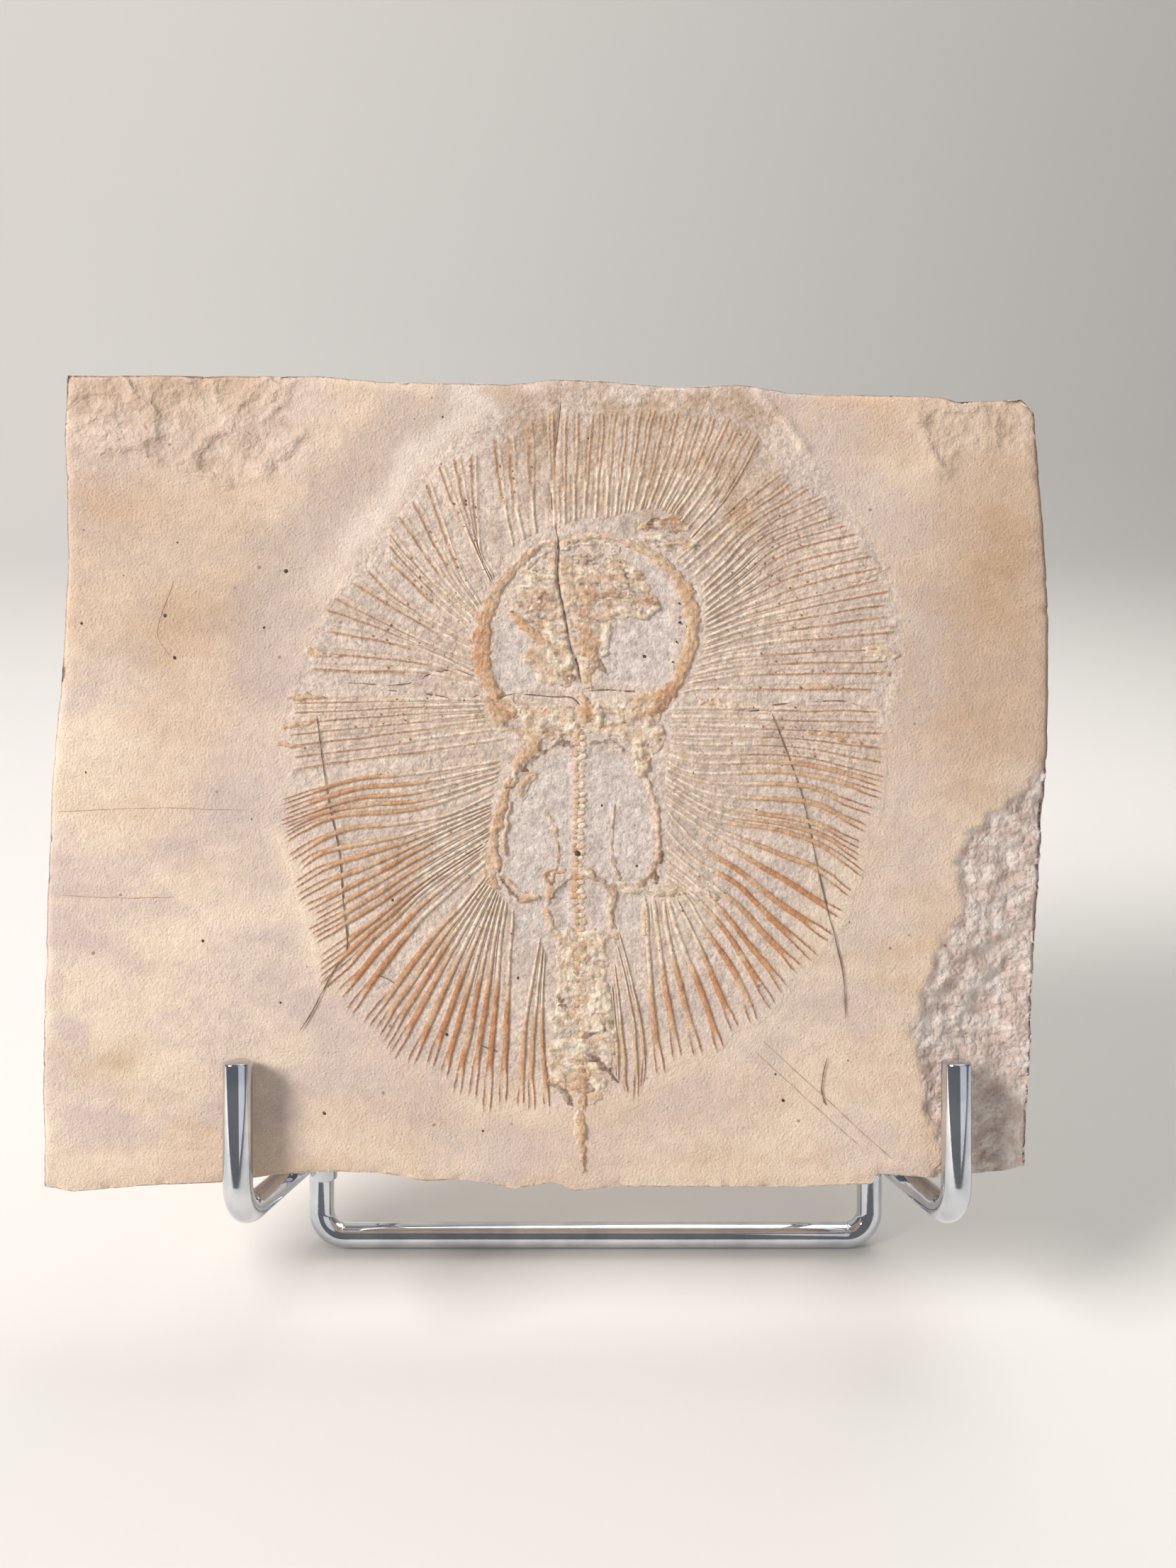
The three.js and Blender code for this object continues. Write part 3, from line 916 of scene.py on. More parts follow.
RIGHT_FAN = [
    Group(2.2, 0.25, 0.7, False, [
        [(1.5, 104), (1, 112), (0.8, 123)],
        [(6, 105.5), (6.4, 113.5), (7, 123)],
        [(9.5, 105.5), (9.8, 112), (10.6, 123)],
        [(13.5, 106.5), (15, 114), (16.6, 123.5)],
        [(17, 107), (20, 114), (22.5, 123)],
        [(20, 106), (24, 112), (28.5, 122)],
        [(22.5, 102.5), (28, 109), (33.5, 119)],
    ]),
    Group(2.3, 0.3, 0.85, False, [
        [(20, 99), (28, 106), (37, 113.5)],
        [(24, 95), (28, 99), (33, 104), (44, 110)],
        [(24.5, 91), (31, 96), (38, 101), (50, 104)],
        [(24.5, 88), (32, 91), (40, 93.5), (54, 97)],
        [(24, 85), (32, 87.5), (40, 89), (55.5, 91)],
        [(23, 82.5), (32, 84.5), (55.5, 86)],
        [(22, 80), (30, 81.3), (38, 81.8), (55, 82)],
        [(20.5, 78.5), (27, 79.3), (54, 79.5)],
    ]),
    Group(2.2, 0.45, 0.85, False, [
        [(19, 76), (27, 76.2), (53.5, 76)],
        [(19, 73.5), (27, 73.4), (54, 72.6)],
        [(19, 69.5), (26, 69), (39, 69), (54.3, 65.3)],
    ]),
    Group(2.4, 0.7, 0.92, True, [
        [(18.8, 69), (25, 67.6), (39, 67.6), (54.1, 64)],
        [(18.5, 68), (24, 66), (39, 66), (53.9, 62.1)],
        [(18.4, 67), (25, 64.6), (40, 64), (47, 61.3), (53.6, 59)],
        [(18.3, 66.4), (26, 62.8), (40.5, 61.5), (47, 58.7), (52.2, 56.2)],
        [(18.3, 65.4), (27, 61), (41, 58.5), (47, 55.8), (51.5, 53.7)],
        [(18.3, 64), (27, 58.7), (37, 57), (43.5, 54.5), (50.4, 49.5)],
        [(18.3, 62.6), (26, 57.6), (36, 53.6), (41.5, 51.5), (49, 46.3)],
    ]),
    Group(3.6, 0.88, 1.18, True, [
        [(18.6, 61.4), (25.5, 56.6), (33.5, 51.6), (42, 46.4), (48.3, 42.4)],
        [(19, 60), (24, 54.6), (30.5, 50.5), (36, 46), (45.5, 39.4)],
        [(18.8, 57), (24, 52), (30, 48.6), (35, 43.5), (43, 36)],
        [(18.6, 54.6), (24, 50), (30, 45.4), (35, 40), (41, 34)],
        [(18.5, 52.4), (23.5, 48.4), (28, 44), (32, 39), (38.4, 30.8)],
        [(18.4, 50.4), (22.5, 47.4), (26, 44), (30, 38.5), (36.4, 28)],
        [(18.4, 49), (22, 46.6), (24.6, 42), (29, 35.5), (33.2, 26)],
        [(20.4, 46.6), (22.6, 42), (26, 34.5), (29.8, 25)],
        [(18.9, 46.6), (21, 40), (24.4, 31.5), (27.6, 22)],
        [(18.4, 46.3), (19, 41), (22, 29), (24, 20.6)],
        [(16.8, 46.4), (17.6, 40), (19.2, 29), (20.7, 19.6)],
        [(15.6, 46.3), (16.2, 35), (16.9, 27), (18, 18.4)],
    ]),
]

PELVIC_FINS = [
    Group(9.0, 0.7, 0.95, True, [
        [(-0.8, 40.7), (-1.9, 34.5), (-3.2, 26.3), (-4, 12.6)],
        [(-0.4, 39.5), (-1.1, 33), (-2, 25), (-2.3, 13)],
        [(-0.1, 38.6), (-0.5, 31), (-0.5, 24.5), (0.3, 12)],
    ]),
    Group(9.0, 0.55, 0.75, True, [
        [(11.3, 41.4), (13, 35.1), (15.2, 24.5), (15, 15.7)],
        [(11, 39.5), (12.6, 33), (14, 24.5), (14.1, 14.6)],
        [(10.7, 36.5), (11.6, 28), (12.2, 21), (12.3, 14.2)],
        [(10.3, 33), (10.8, 27), (11.2, 22), (11.1, 17)],
    ]),
]

RAY_STEPS = 84


def fan_lines(fan):
    """Every ray of a fan as (line, group), with rays worked out between those listed."""
    rays = []
    for group in fan:
        lines = [smooth_line(points, RAY_STEPS) for points in group.rays]
        for near, far in zip(lines, lines[1:]):
            pieces = max(1, round(math.dist(near[-1], far[-1]) / group.gap))
            for piece in range(pieces):
                share = piece / pieces
                rays.append((near * (1 - share) + far * share, group))
        rays.append((lines[-1], group))
    return rays


def waver(line, seed):
    """A line with a slight natural wander."""
    step = np.gradient(line, axis=0)
    side = np.column_stack([-step[:, 1], step[:, 0]]) / np.hypot(step[:, 0], step[:, 1])[:, None]
    share = np.linspace(0, 1, len(line))
    wander = 0.2 * hills(share * 7, seed * 3.7, 1, 201) * share
    return line + side * wander[:, None]


Form = namedtuple("Form", "stem fork fade knots half rust stain")
# A column's last value and part of its dark value are painted shade in the low places between rays.
Column = namedtuple("Column", "offset height bone tone dark groove")


def ray_form(share, group, seed):
    """How a ray changes from root to tip: its stem, its fork, where it ends and how it is stained."""
    chance = np.random.default_rng(seed)
    end = chance.uniform(0.94, 1.0)
    knots = 1 + 0.25 * hills(share * 22, seed * 2.9, 1, 211)
    if group.fork:
        start, split = chance.uniform(0.18, 0.36), chance.uniform(0.78, 0.88)
        length = 0.22
    else:
        start = split = chance.uniform(0.22, 0.42)
        length = 0.14
    worn = ease(-0.75, -0.35, hills(share * 9, seed * 1.3, 1, 217))
    stem = ease(start, start + length, share) * (0.62 + 0.38 * worn)
    uneven = 1 + 0.18 * hills(share * 6, seed * 1.9, 1, 205)
    rust = np.clip(group.rust * chance.uniform(0.8, 1.1) * uneven, 0, 1.1)
    stain = ease(0.1, 0.8, hills(share * 12, seed * 5.1, 1, 207))
    return Form(stem, ease(split - 0.07, split + 0.05, share), ease(end, end - 0.06, share), knots,
                group.width / 2 * (0.64 + 0.36 * ease(start, 0.7, share)) * knots**0.5, rust, stain)


def ray_middle(form):
    """The column along the middle of a ray."""
    pale, solid = 1 - form.stem, form.stem * (1 - form.fork)
    blank = np.zeros(len(form.stem))
    height = (0.17 * pale * form.knots + 0.24 * solid) * form.fade
    return Column(blank, height, (0.8 * pale + solid) * form.fade,
                  0.04 * pale + 1.1 * form.rust * solid, 0.12 * form.stain * solid, blank)


def ray_side(share, form, room, seed, way, fork):
    """The columns on one side of a ray, from its middle outwards, the last half way to the next ray.
    A ray that doesn't fork has a dark line of painted shade on one side and a cream one on the
    other; the low columns towards the next ray are darkened with painted shade too."""
    blank = np.zeros(len(share))
    pale, solid, split = 1 - form.stem, form.stem * (1 - form.fork), form.stem * form.fork
    rim = 0.5 + 0.5 * hills(share * 10, seed * 3.3, 1, 223)
    line = np.minimum(form.half * (0.62 + 0.30 * form.fork) + 0.05, room * 0.50)
    inner = np.maximum(line - 0.15, line * 0.45)
    outer = np.minimum(line + (0.16 if fork else 0.26), room * 0.72)
    beyond = outer + (room - outer) * 0.42
    thread = ease(-0.2, 0.5, hills(share * 8, seed * 4.7, 1, 225))
    # Painted shade: a ray that doesn't fork is darkened on one side only.
    shaded = 1.0 if fork or way > 0 else 0.3
    tip_tone = 1.1 if fork else 0.25 + 0.5 * shaded
    tip_dark = 0.42 + 0.25 * rim if fork else (0.28 + 0.25 * rim) * shaded
    tip_spread = 0.5 if fork else 0.6 * shaded
    gap_line = (0.55 + 0.45 * rim) * (0.5 + 0.5 * shaded)
    columns = [
        Column(inner, 0.15 * pale * form.knots + 0.235 * solid + 0.04 * split,
               0.75 * pale + solid + tip_spread * split,
               0.05 * pale + 1.1 * form.rust * solid + tip_tone * 0.8 * split,
               0.1 * form.stain * solid + 0.5 * tip_dark * split, blank),
        Column(line, 0.08 * pale + 0.17 * solid + 0.14 * split, 0.5 * pale + solid + split,
               0.22 * pale + 1.1 * form.rust * solid + tip_tone * split,
               0.06 * pale + (0.16 + 0.34 * rim) * solid + tip_dark * split, 0.1 * pale),
        # The low outer column and the gap to the next ray are darkened with painted shade; the rusty stems
        # and forked tips keep their own dark edges.
        Column(outer, -0.07 * pale, gap_line * pale + 0.4 * solid + tip_spread * split,
               0.48 * pale + 0.6 * solid + tip_tone * split,
               0.46 * gap_line * pale + 0.25 * solid + tip_dark * split, 0.5 * pale + 0.2 * solid),
        Column(beyond, 0.02 * rim - 0.01 * pale, 0.3 * thread * pale, 0.1 + blank, blank,
               0.35 * pale * (1 - thread)),
        Column(room + blank, 0.10 * pale * thread - 0.03 * pale * (1 - thread), 0.55 * pale,
               0.08 + 0.4 * (1 - thread), 0.4 * (1 - thread), 0.4 * pale * (1 - thread)),
    ]
    return [column._replace(height=column.height * form.fade, bone=column.bone * form.fade)
            for column in columns]


def fan_web(fan, first_seed):
    """A fan in low relief: a grid whose columns run along the rays. Gives places and values."""
    rays = fan_lines(fan)
    if len(rays) < 2:
        raise RuntimeError("a fan needs two rays or more")
    share = np.linspace(0, 1, RAY_STEPS)
    lines = [waver(line, first_seed + number) for number, (line, _) in enumerate(rays)]
    places, columns = [], []
    for number, (_, group) in enumerate(rays):
        form = ray_form(share, group, first_seed + number)
        following = lines[number + 1] - lines[number] if number + 1 < len(rays) else lines[number] - lines[-2]
        preceding = lines[number - 1] - lines[number] if number else lines[0] - lines[1]
        sides = []
        for way, toward in ((-1, preceding), (1, following)):
            gap = np.hypot(toward[:, 0], toward[:, 1]) + 1e-6
            seed = first_seed + number + way * 0.31
            for column in ray_side(share, form, gap / 2, seed, way, group.fork):
                place = lines[number] + toward * (column.offset / gap)[:, None]
                sides.append((way, place, column))
        left = [(place, column) for way, place, column in sides if way < 0]
        right = [(place, column) for way, place, column in sides if way > 0]
        if number:
            left = left[:-1]
        ordered = left[::-1] + [(lines[number], ray_middle(form))] + right
        places += [place for place, _ in ordered]
        columns += [column for _, column in ordered]
    values = {name: np.array([getattr(column, name) for column in columns])
              for name in ("height", "bone", "tone", "dark", "groove")}
    return np.array(places), values


def web_piece(name, fan, seed):
    """A fan's relief as a closed mesh: the grid, a wall round it and long faces underneath."""
    places, values = fan_web(fan, seed)
    columns, rows = places.shape[:2]
    x, w = places[..., 0], places[..., 1]
    shares = face_shares(x, w)
    i, j = np.meshgrid(np.arange(columns), np.arange(rows), indexing="ij")
    margin = np.minimum.reduce([i * 0.25, (columns - 1 - i) * 0.25, j * 0.34, (rows - 1 - j) * 0.34])
    sunk = ease(1.0, 0.0, margin)
    surface = face_height(x, w, shares)
    relief = 1.2 * values["height"] * (1 - 0.5 * sunk)
    out = surface + 0.05 - 0.2 * sunk + relief + 0.025 * crags(x, w, 0.8, seed)
    top = np.column_stack([x.ravel(), w.ravel(), out.ravel()])
    ends = np.column_stack([
        grid[:, [0, -1]].ravel() for grid in (x, w, surface - UNDERSIDE)])
    index = np.arange(columns * rows).reshape(columns, rows)
    under = columns * rows + np.arange(columns * 2).reshape(columns, 2)
    faces = grid_faces(index, flipped=True)
    for k in range(columns - 1):
        faces.append((under[k, 0], under[k + 1, 0], under[k + 1, 1], under[k, 1]))
        faces.append((index[k, 0], index[k + 1, 0], under[k + 1, 0], under[k, 0]))
        faces.append((index[k + 1, -1], index[k, -1], under[k, 1], under[k + 1, 1]))
    faces.append((*index[0, ::-1], under[0, 0], under[0, 1]))
    faces.append((*index[-1], under[-1, 1], under[-1, 0]))
    piece = make_object(name, lay_on_face(np.vstack([top, ends])), faces)
    stored = {label: values[label] for label in ("bone", "tone", "dark", "groove")}
    stored.update({label: shares[label] for label in FOSSIL_SHARES})
    beyond = np.zeros(columns * 2)
    store_values(piece.data, **{label: np.concatenate([numbers.ravel(), beyond])
                                for label, numbers in stored.items()})
    return piece


def ray_joint_places(fans):
    """The dark joints: a few places on each ray, in rough arcs across the fan."""
    places, sizes = [], []
    chance = np.random.default_rng(57)
    for fan in fans:
        for line, group in fan_lines(fan):
            for joint in (0.13, 0.22, 0.31, 0.40, 0.49, 0.58, 0.67):
                share = joint + chance.uniform(-0.03, 0.03)
                size = chance.uniform(0.09, 0.19)
                if chance.uniform() < 0.6:
                    spot = line[int(share * (RAY_STEPS - 1))] + chance.uniform(-0.15, 0.15, 2)
                    places.append(spot)
                    sizes.append(size)
    places = np.array(places)
    lifted = face_height(places[:, 0], places[:, 1]) + 0.17
    return np.column_stack([places, lifted]), np.array(sizes)


# ---------------------------------------------------------------------------------------------
# The bones of the middle, each a list of strokes.

HEAD_RING = [
    Stroke([(1, 102), (-1.5, 101.2), (-4, 99), (-7.3, 95), (-9.2, 91), (-9.9, 86), (-9.6, 82),
            (-8.2, 78.8), (-5.2, 75.8)],
           (0.9, 1.2, 1.6, 2.2, 2.6, 2.8, 2.6, 2.2, 1.8), 0.5,
           (0.3, 0.4, 0.45, 0.55, 0.8, 0.95, 0.9, 0.6, 0.6)),
    Stroke([(0.5, 100.4), (-1.5, 99.4), (-4, 97)], (0.7, 0.8, 0.5), 0.3, 0.15),
    Stroke([(0, 101.9), (2, 101.6), (5, 102.6), (8, 103), (12.5, 101.9), (15, 100.8)],
           0.9, 0.4, (0.2, 0.3, 0.35)),
    Stroke([(1.5, 100.6), (4.5, 101.5), (8, 101.9), (11.5, 100.7)], 0.6, 0.25, 0.15),
    Stroke([(13, 101.8), (15, 101), (17.5, 99.6), (20, 97), (22, 94), (22.9, 90), (22.7, 86), (21.2, 82),
            (19.2, 78.4), (16.6, 75.8)],
           (1.2, 1.6, 1.9, 2.1, 2.4, 2.4, 2.2, 2.0, 2.3, 2.2), 0.5,
           (0.5, 0.5, 0.55, 0.6, 0.6, 0.65, 0.65, 0.7, 1.0, 0.8), (0, 0, 0, 0, 0, 0, 0, 0, 0.25, 0.2)),
]
SKULL = [
    Stroke([(1, 99), (3, 97.4), (3.6, 95), (3.2, 91)],
           (3.2, 3.6, 3.0, 2.6), 0.42, (0.3, 0.4, 0.2), 0.1, 0.25),
    Stroke([(-3.8, 97), (-1.5, 97), (0.8, 97.9)], (1.6, 2.4, 1.4), 0.28, 0.05, 0, 0.2),
    Stroke([(5, 96.8), (8.5, 97.4), (12.5, 97.6), (15, 96)], (2.2, 2.6, 2.0), 0.25, 0.12, 0, 0.25),
    Stroke([(5, 99.8), (8, 99.2), (11.5, 99)], (1.2, 1.6, 1), 0.25, 0.3, 0.35, 0.2),
    Stroke([(-5, 94.6), (-2.5, 94.2), (0, 94.2), (3, 94.8)], (1.2, 1.7, 1.4), 0.45, (0.2, 0.45, 0.2), 0, 0.2),
    Stroke([(-4.8, 92.6), (-2, 92), (1, 91.6), (3.5, 92)], (1.2, 1.4, 1.3), 0.4, (0.5, 0.7, 0.4), 0.15, 0.2),
    Stroke([(-5.3, 91.2), (-3.5, 90.9), (-2, 91.3)], 0.9, 0.15, 0.5, 0.75, 0.1),
    Stroke([(5, 94.4), (8, 93.9), (11.5, 93.8), (14.5, 93.2), (17, 92.3)], (1.5, 1.6, 1.3, 1.1, 0.9), 0.5,
           (0.5, 0.9, 0.9, 1.0), (0, 0.2, 0.3, 0.5), 0.2),
    Stroke([(9.5, 90.8), (12.5, 91.2), (15, 90.4), (17.6, 92)], (0.9, 1.2, 1.0, 0.8), 0.5, 0.05, 0, 0.12),
    Stroke([(-4.7, 90.4), (-2.6, 88.3), (0, 86.4), (1.6, 85)], (1.2, 1.6, 1.4, 1), 0.5, (0.8, 0.75, 0.6)),
    Stroke([(3, 93), (4.5, 91), (6.5, 89), (8.2, 87)], (3, 4, 4, 2.6), 0.32, (0.3, 0.55, 0.75), 0.15, 0.25),
    Stroke([(6.5, 88), (7, 85.4), (6.6, 83), (6.4, 80)],
           (3.6, 3.2, 2.6, 1.6), 0.42, (0.75, 0.8, 0.5), 0.05, 0.15),
    Stroke([(9.8, 88.6), (9.2, 86.4), (9, 84.4)], (1.2, 1.6, 1), 0.4, 0.0, 0, 0.15),
    Stroke([(0.8, 88.2), (2.4, 86), (3.8, 84.2), (3.2, 82.2), (2.8, 80.4)], (1.8, 2.6, 2.4, 1.8, 1.8), 0.5,
           (0.05, 0.0, 0.15, 0.35), (0, 0, 0.1, 0.3), 0.25),
    Stroke([(-3.2, 84), (-1.5, 83), (0.2, 81.6), (2.4, 80)],
           (1.4, 2.0, 2.0, 1.4), 0.42, (0.3, 0.35, 0.3), 0.05, 0.2),
    Stroke([(0, 86), (0.9, 84), (1.8, 81.6), (3.4, 79.6)], 0.9, 0.55, (0.1, 0.25, 0.35), 0, 0.1),
    Stroke([(6.6, 84.3), (8.4, 82.8), (9.6, 81.6)], (1.8, 1.5, 0.7), 0.32, 0.6, 0.5, 0.15),
    Stroke([(-7, 78), (-5.6, 77.3), (-3.9, 75.4)], (0.8, 1.1, 0.7), 0.42, 0.0),
]
SKULL_RUBBLE = [
    Rubble([(-5.6, 91.6), (-4.6, 95.6), (-1.5, 98.4), (4, 100.6), (11, 100.2), (15.5, 97), (17.8, 92.6),
            (13, 90), (9, 88.6), (8, 84), (7.4, 79.4), (2, 79), (-1, 80.4), (-4, 83.4), (-2.4, 87),
            (-5.6, 91.6)],
           0.26, 1.9, 0.25, 0.45),
    Rubble([(13, 102), (17, 103.4), (23, 102.8), (25, 101), (20, 100.6), (13, 102)], 0.32, 1.6, 0.2, 0.2),
    Rubble([(14, 104), (16.5, 106.6), (21.5, 106.4), (23.6, 104), (20, 103), (14, 104)], 0.26, 1.4, 0.4, 0.6),
]
SHOULDER_RUBBLE = [
    Rubble([(-9.5, 79), (-4, 77.6), (4, 77.2), (10, 78), (18.6, 79), (18, 74), (16, 69), (13, 71.4), (6, 72),
            (1, 71.6), (-3, 69.6), (-4.6, 71.4), (-9.6, 74.6), (-9.5, 79)], 0.2, 1.8, 0.15, 0.2),
]
PELVIS_RUBBLE = [
    Rubble([(1, 41.6), (9.8, 41.8), (9.6, 34), (10.8, 24), (10.4, 18), (7, 15), (4, 15.4), (1.6, 19),
            (0.8, 24), (1.8, 33), (1, 41.6)], 0.2, 2.0, 0.0, 0.0),
]
SHOULDER = [
    Stroke([(-9.2, 77.3), (-7, 75.6), (-5, 75.2)],
           (1.6, 2.4, 1.6), 0.5, (0.6, 0.85, 0.8), (0, 0.15, 0.3), 0.2),
    Stroke([(-3.6, 76.4), (-1.5, 75.4), (1, 75.6), (3, 75), (4, 73)], (1.6, 2.0, 2.6, 3.2, 2.4), 0.45,
           (0.1, 0.45, 0.2, 0, 0), 0, 0.25),
    Stroke([(-8, 73.4), (-5, 72.8), (-2, 73), (0, 72.2), (2, 71.9)], (1.2, 1.8, 2.2, 1.6), 0.42,
           (0.2, 0.45, 0.3, 0.7), (0, 0.1, 0.3), 0.25),
    Stroke([(6, 77.3), (6.2, 75.8), (6, 74.2)], (1.6, 2.4, 1.8), 0.62, (0.8, 0.85, 0.6)),
    Stroke([(7.8, 76), (8, 74.6), (8.2, 73.8)], (1.4, 2.0, 1.3), 0.75, 0.0),
    Stroke([(9, 73.6), (11.5, 74), (14, 74.9), (16.8, 76.3)],
           (1.6, 2.0, 1.8, 1.6), 0.5, (0.1, 0.3, 0.4, 0.7), 0, 0.2),
    Stroke([(10, 75.8), (13, 76.2), (16, 77.6), (18.2, 78.2)],
           (1.6, 1.8, 2.0), 0.5, (0.0, 0.2, 0.6, 0.9), 0, 0.2),
    Stroke([(-2.6, 72), (-1.8, 70.6), (-3, 68.8), (-4.3, 67.2)],
           (2.2, 3.0, 2.8, 1.6), 0.55, (0.5, 0.7, 0.55), 0, 0.2),
    Stroke([(-3.9, 66.9), (-3, 66.5)], 1.4, 0.5, 0.5, 0.75),
    Stroke([(-4.6, 66.4), (-5, 64.6), (-5.9, 63.8)], (1.2, 1.4, 1.0), 0.4, (0.2, 0.5), (0, 0.4)),
    Stroke([(10, 72.8), (12.5, 72.5), (14.4, 71), (15.2, 68.6), (15, 66)], (1.6, 2.6, 2.8, 2.6, 1.8), 0.52,
           (0.1, 0.25, 0.35, 0.3), (0, 0.05, 0.15), 0.25),
    Stroke([(15.8, 74.4), (17.4, 72.6), (17, 69.8)], (1.8, 2.2, 1.6), 0.45, (0.3, 0.2), 0.2, 0.25),
    Stroke([(-3, 67.3), (-1.5, 68.3), (0, 69.5), (2, 70.6), (5, 70.5)], (0.6, 0.9, 1.1), 0.22, 0.3, 0.7),
    Stroke([(7, 70.7), (9, 71), (11, 70.6), (12.4, 69.6)], (1.1, 1.2, 0.8), 0.22, 0.1, 0.55),
    Stroke([(4.9, 73.6), (5.1, 71.6)], 1.6, 0.5, (0.6, 0.4), 0, 0.2),
]
BODY_WALLS = [
    Stroke([(-5.4, 65), (-6.3, 62.6), (-7, 60), (-7.7, 57), (-7.9, 54), (-7.6, 51.6)],
           (0.9, 1.2, 1.5, 1.7, 1.4, 1.0), 0.45, (0.5, 0.75, 0.75, 0.6, 0.6)),
    Stroke([(-5.4, 61.5), (-6.2, 57.5), (-6.3, 53.5)], 0.6, 0.3, (0.6, 0.4), 0.1),
    Stroke([(-2.2, 65.6), (-3.4, 64.4), (-4, 62.6)], (1.8, 2.2, 1.2), 0.2, 0.6),
    Stroke([(-7.8, 52.2), (-7.1, 50), (-5.5, 47.8), (-3.9, 45.9)], (0.7, 0.6, 0.6, 0.8), 0.28, 0.7, 0.75),
    Stroke([(-6.6, 50.4), (-5, 48.4), (-3.4, 47.2)], (0.7, 0.9, 0.6), 0.3, 0.3),
    Stroke([(-4.2, 46.1), (-2.7, 46.6), (-1, 46.7)], (0.9, 1.1, 1.1), 0.5, (0.9, 0.4, 0.0)),
    Stroke([(-9.4, 55), (-9.2, 52), (-8.6, 49.5), (-7.4, 47.6)],
           (1.4, 2.0, 2.2, 1.2), 0.28, (0.35, 0.55, 0.6), 0, 0.15),
    Stroke([(14.2, 67.6), (15.6, 65), (16.8, 62), (17.5, 59), (17.6, 56), (17.3, 53),
            (16.4, 50.5), (14.8, 48.6)],
           (0.8, 1.0, 1.0, 1.1, 1.0, 1.0, 1.2, 1.0), 0.4, (0.2, 0.3, 0.35, 0.4, 0.5), (0, 0, 0, 0.2, 0.3)),
    Stroke([(17.6, 53.4), (18, 52.6)], 1.4, 0.4, 0.7, 0.7),
    Stroke([(16.6, 50.4), (17, 49.6)], 1.3, 0.4, 0.7, 0.7),
    Stroke([(-0.6, 62), (0.4, 59.4), (1.5, 57), (1.9, 54), (1.9, 51.6), (0.9, 49.4)], (0.6, 0.9, 0.8), 0.24,
           (0.3, 0.45, 0.6), 0.05),
    Stroke([(10.6, 61), (10.4, 57), (10.3, 54), (10.6, 51.6), (11.4, 49.4)],
           (0.5, 0.7, 0.9), 0.24, (0.3, 0.5), (0, 0.3)),
]
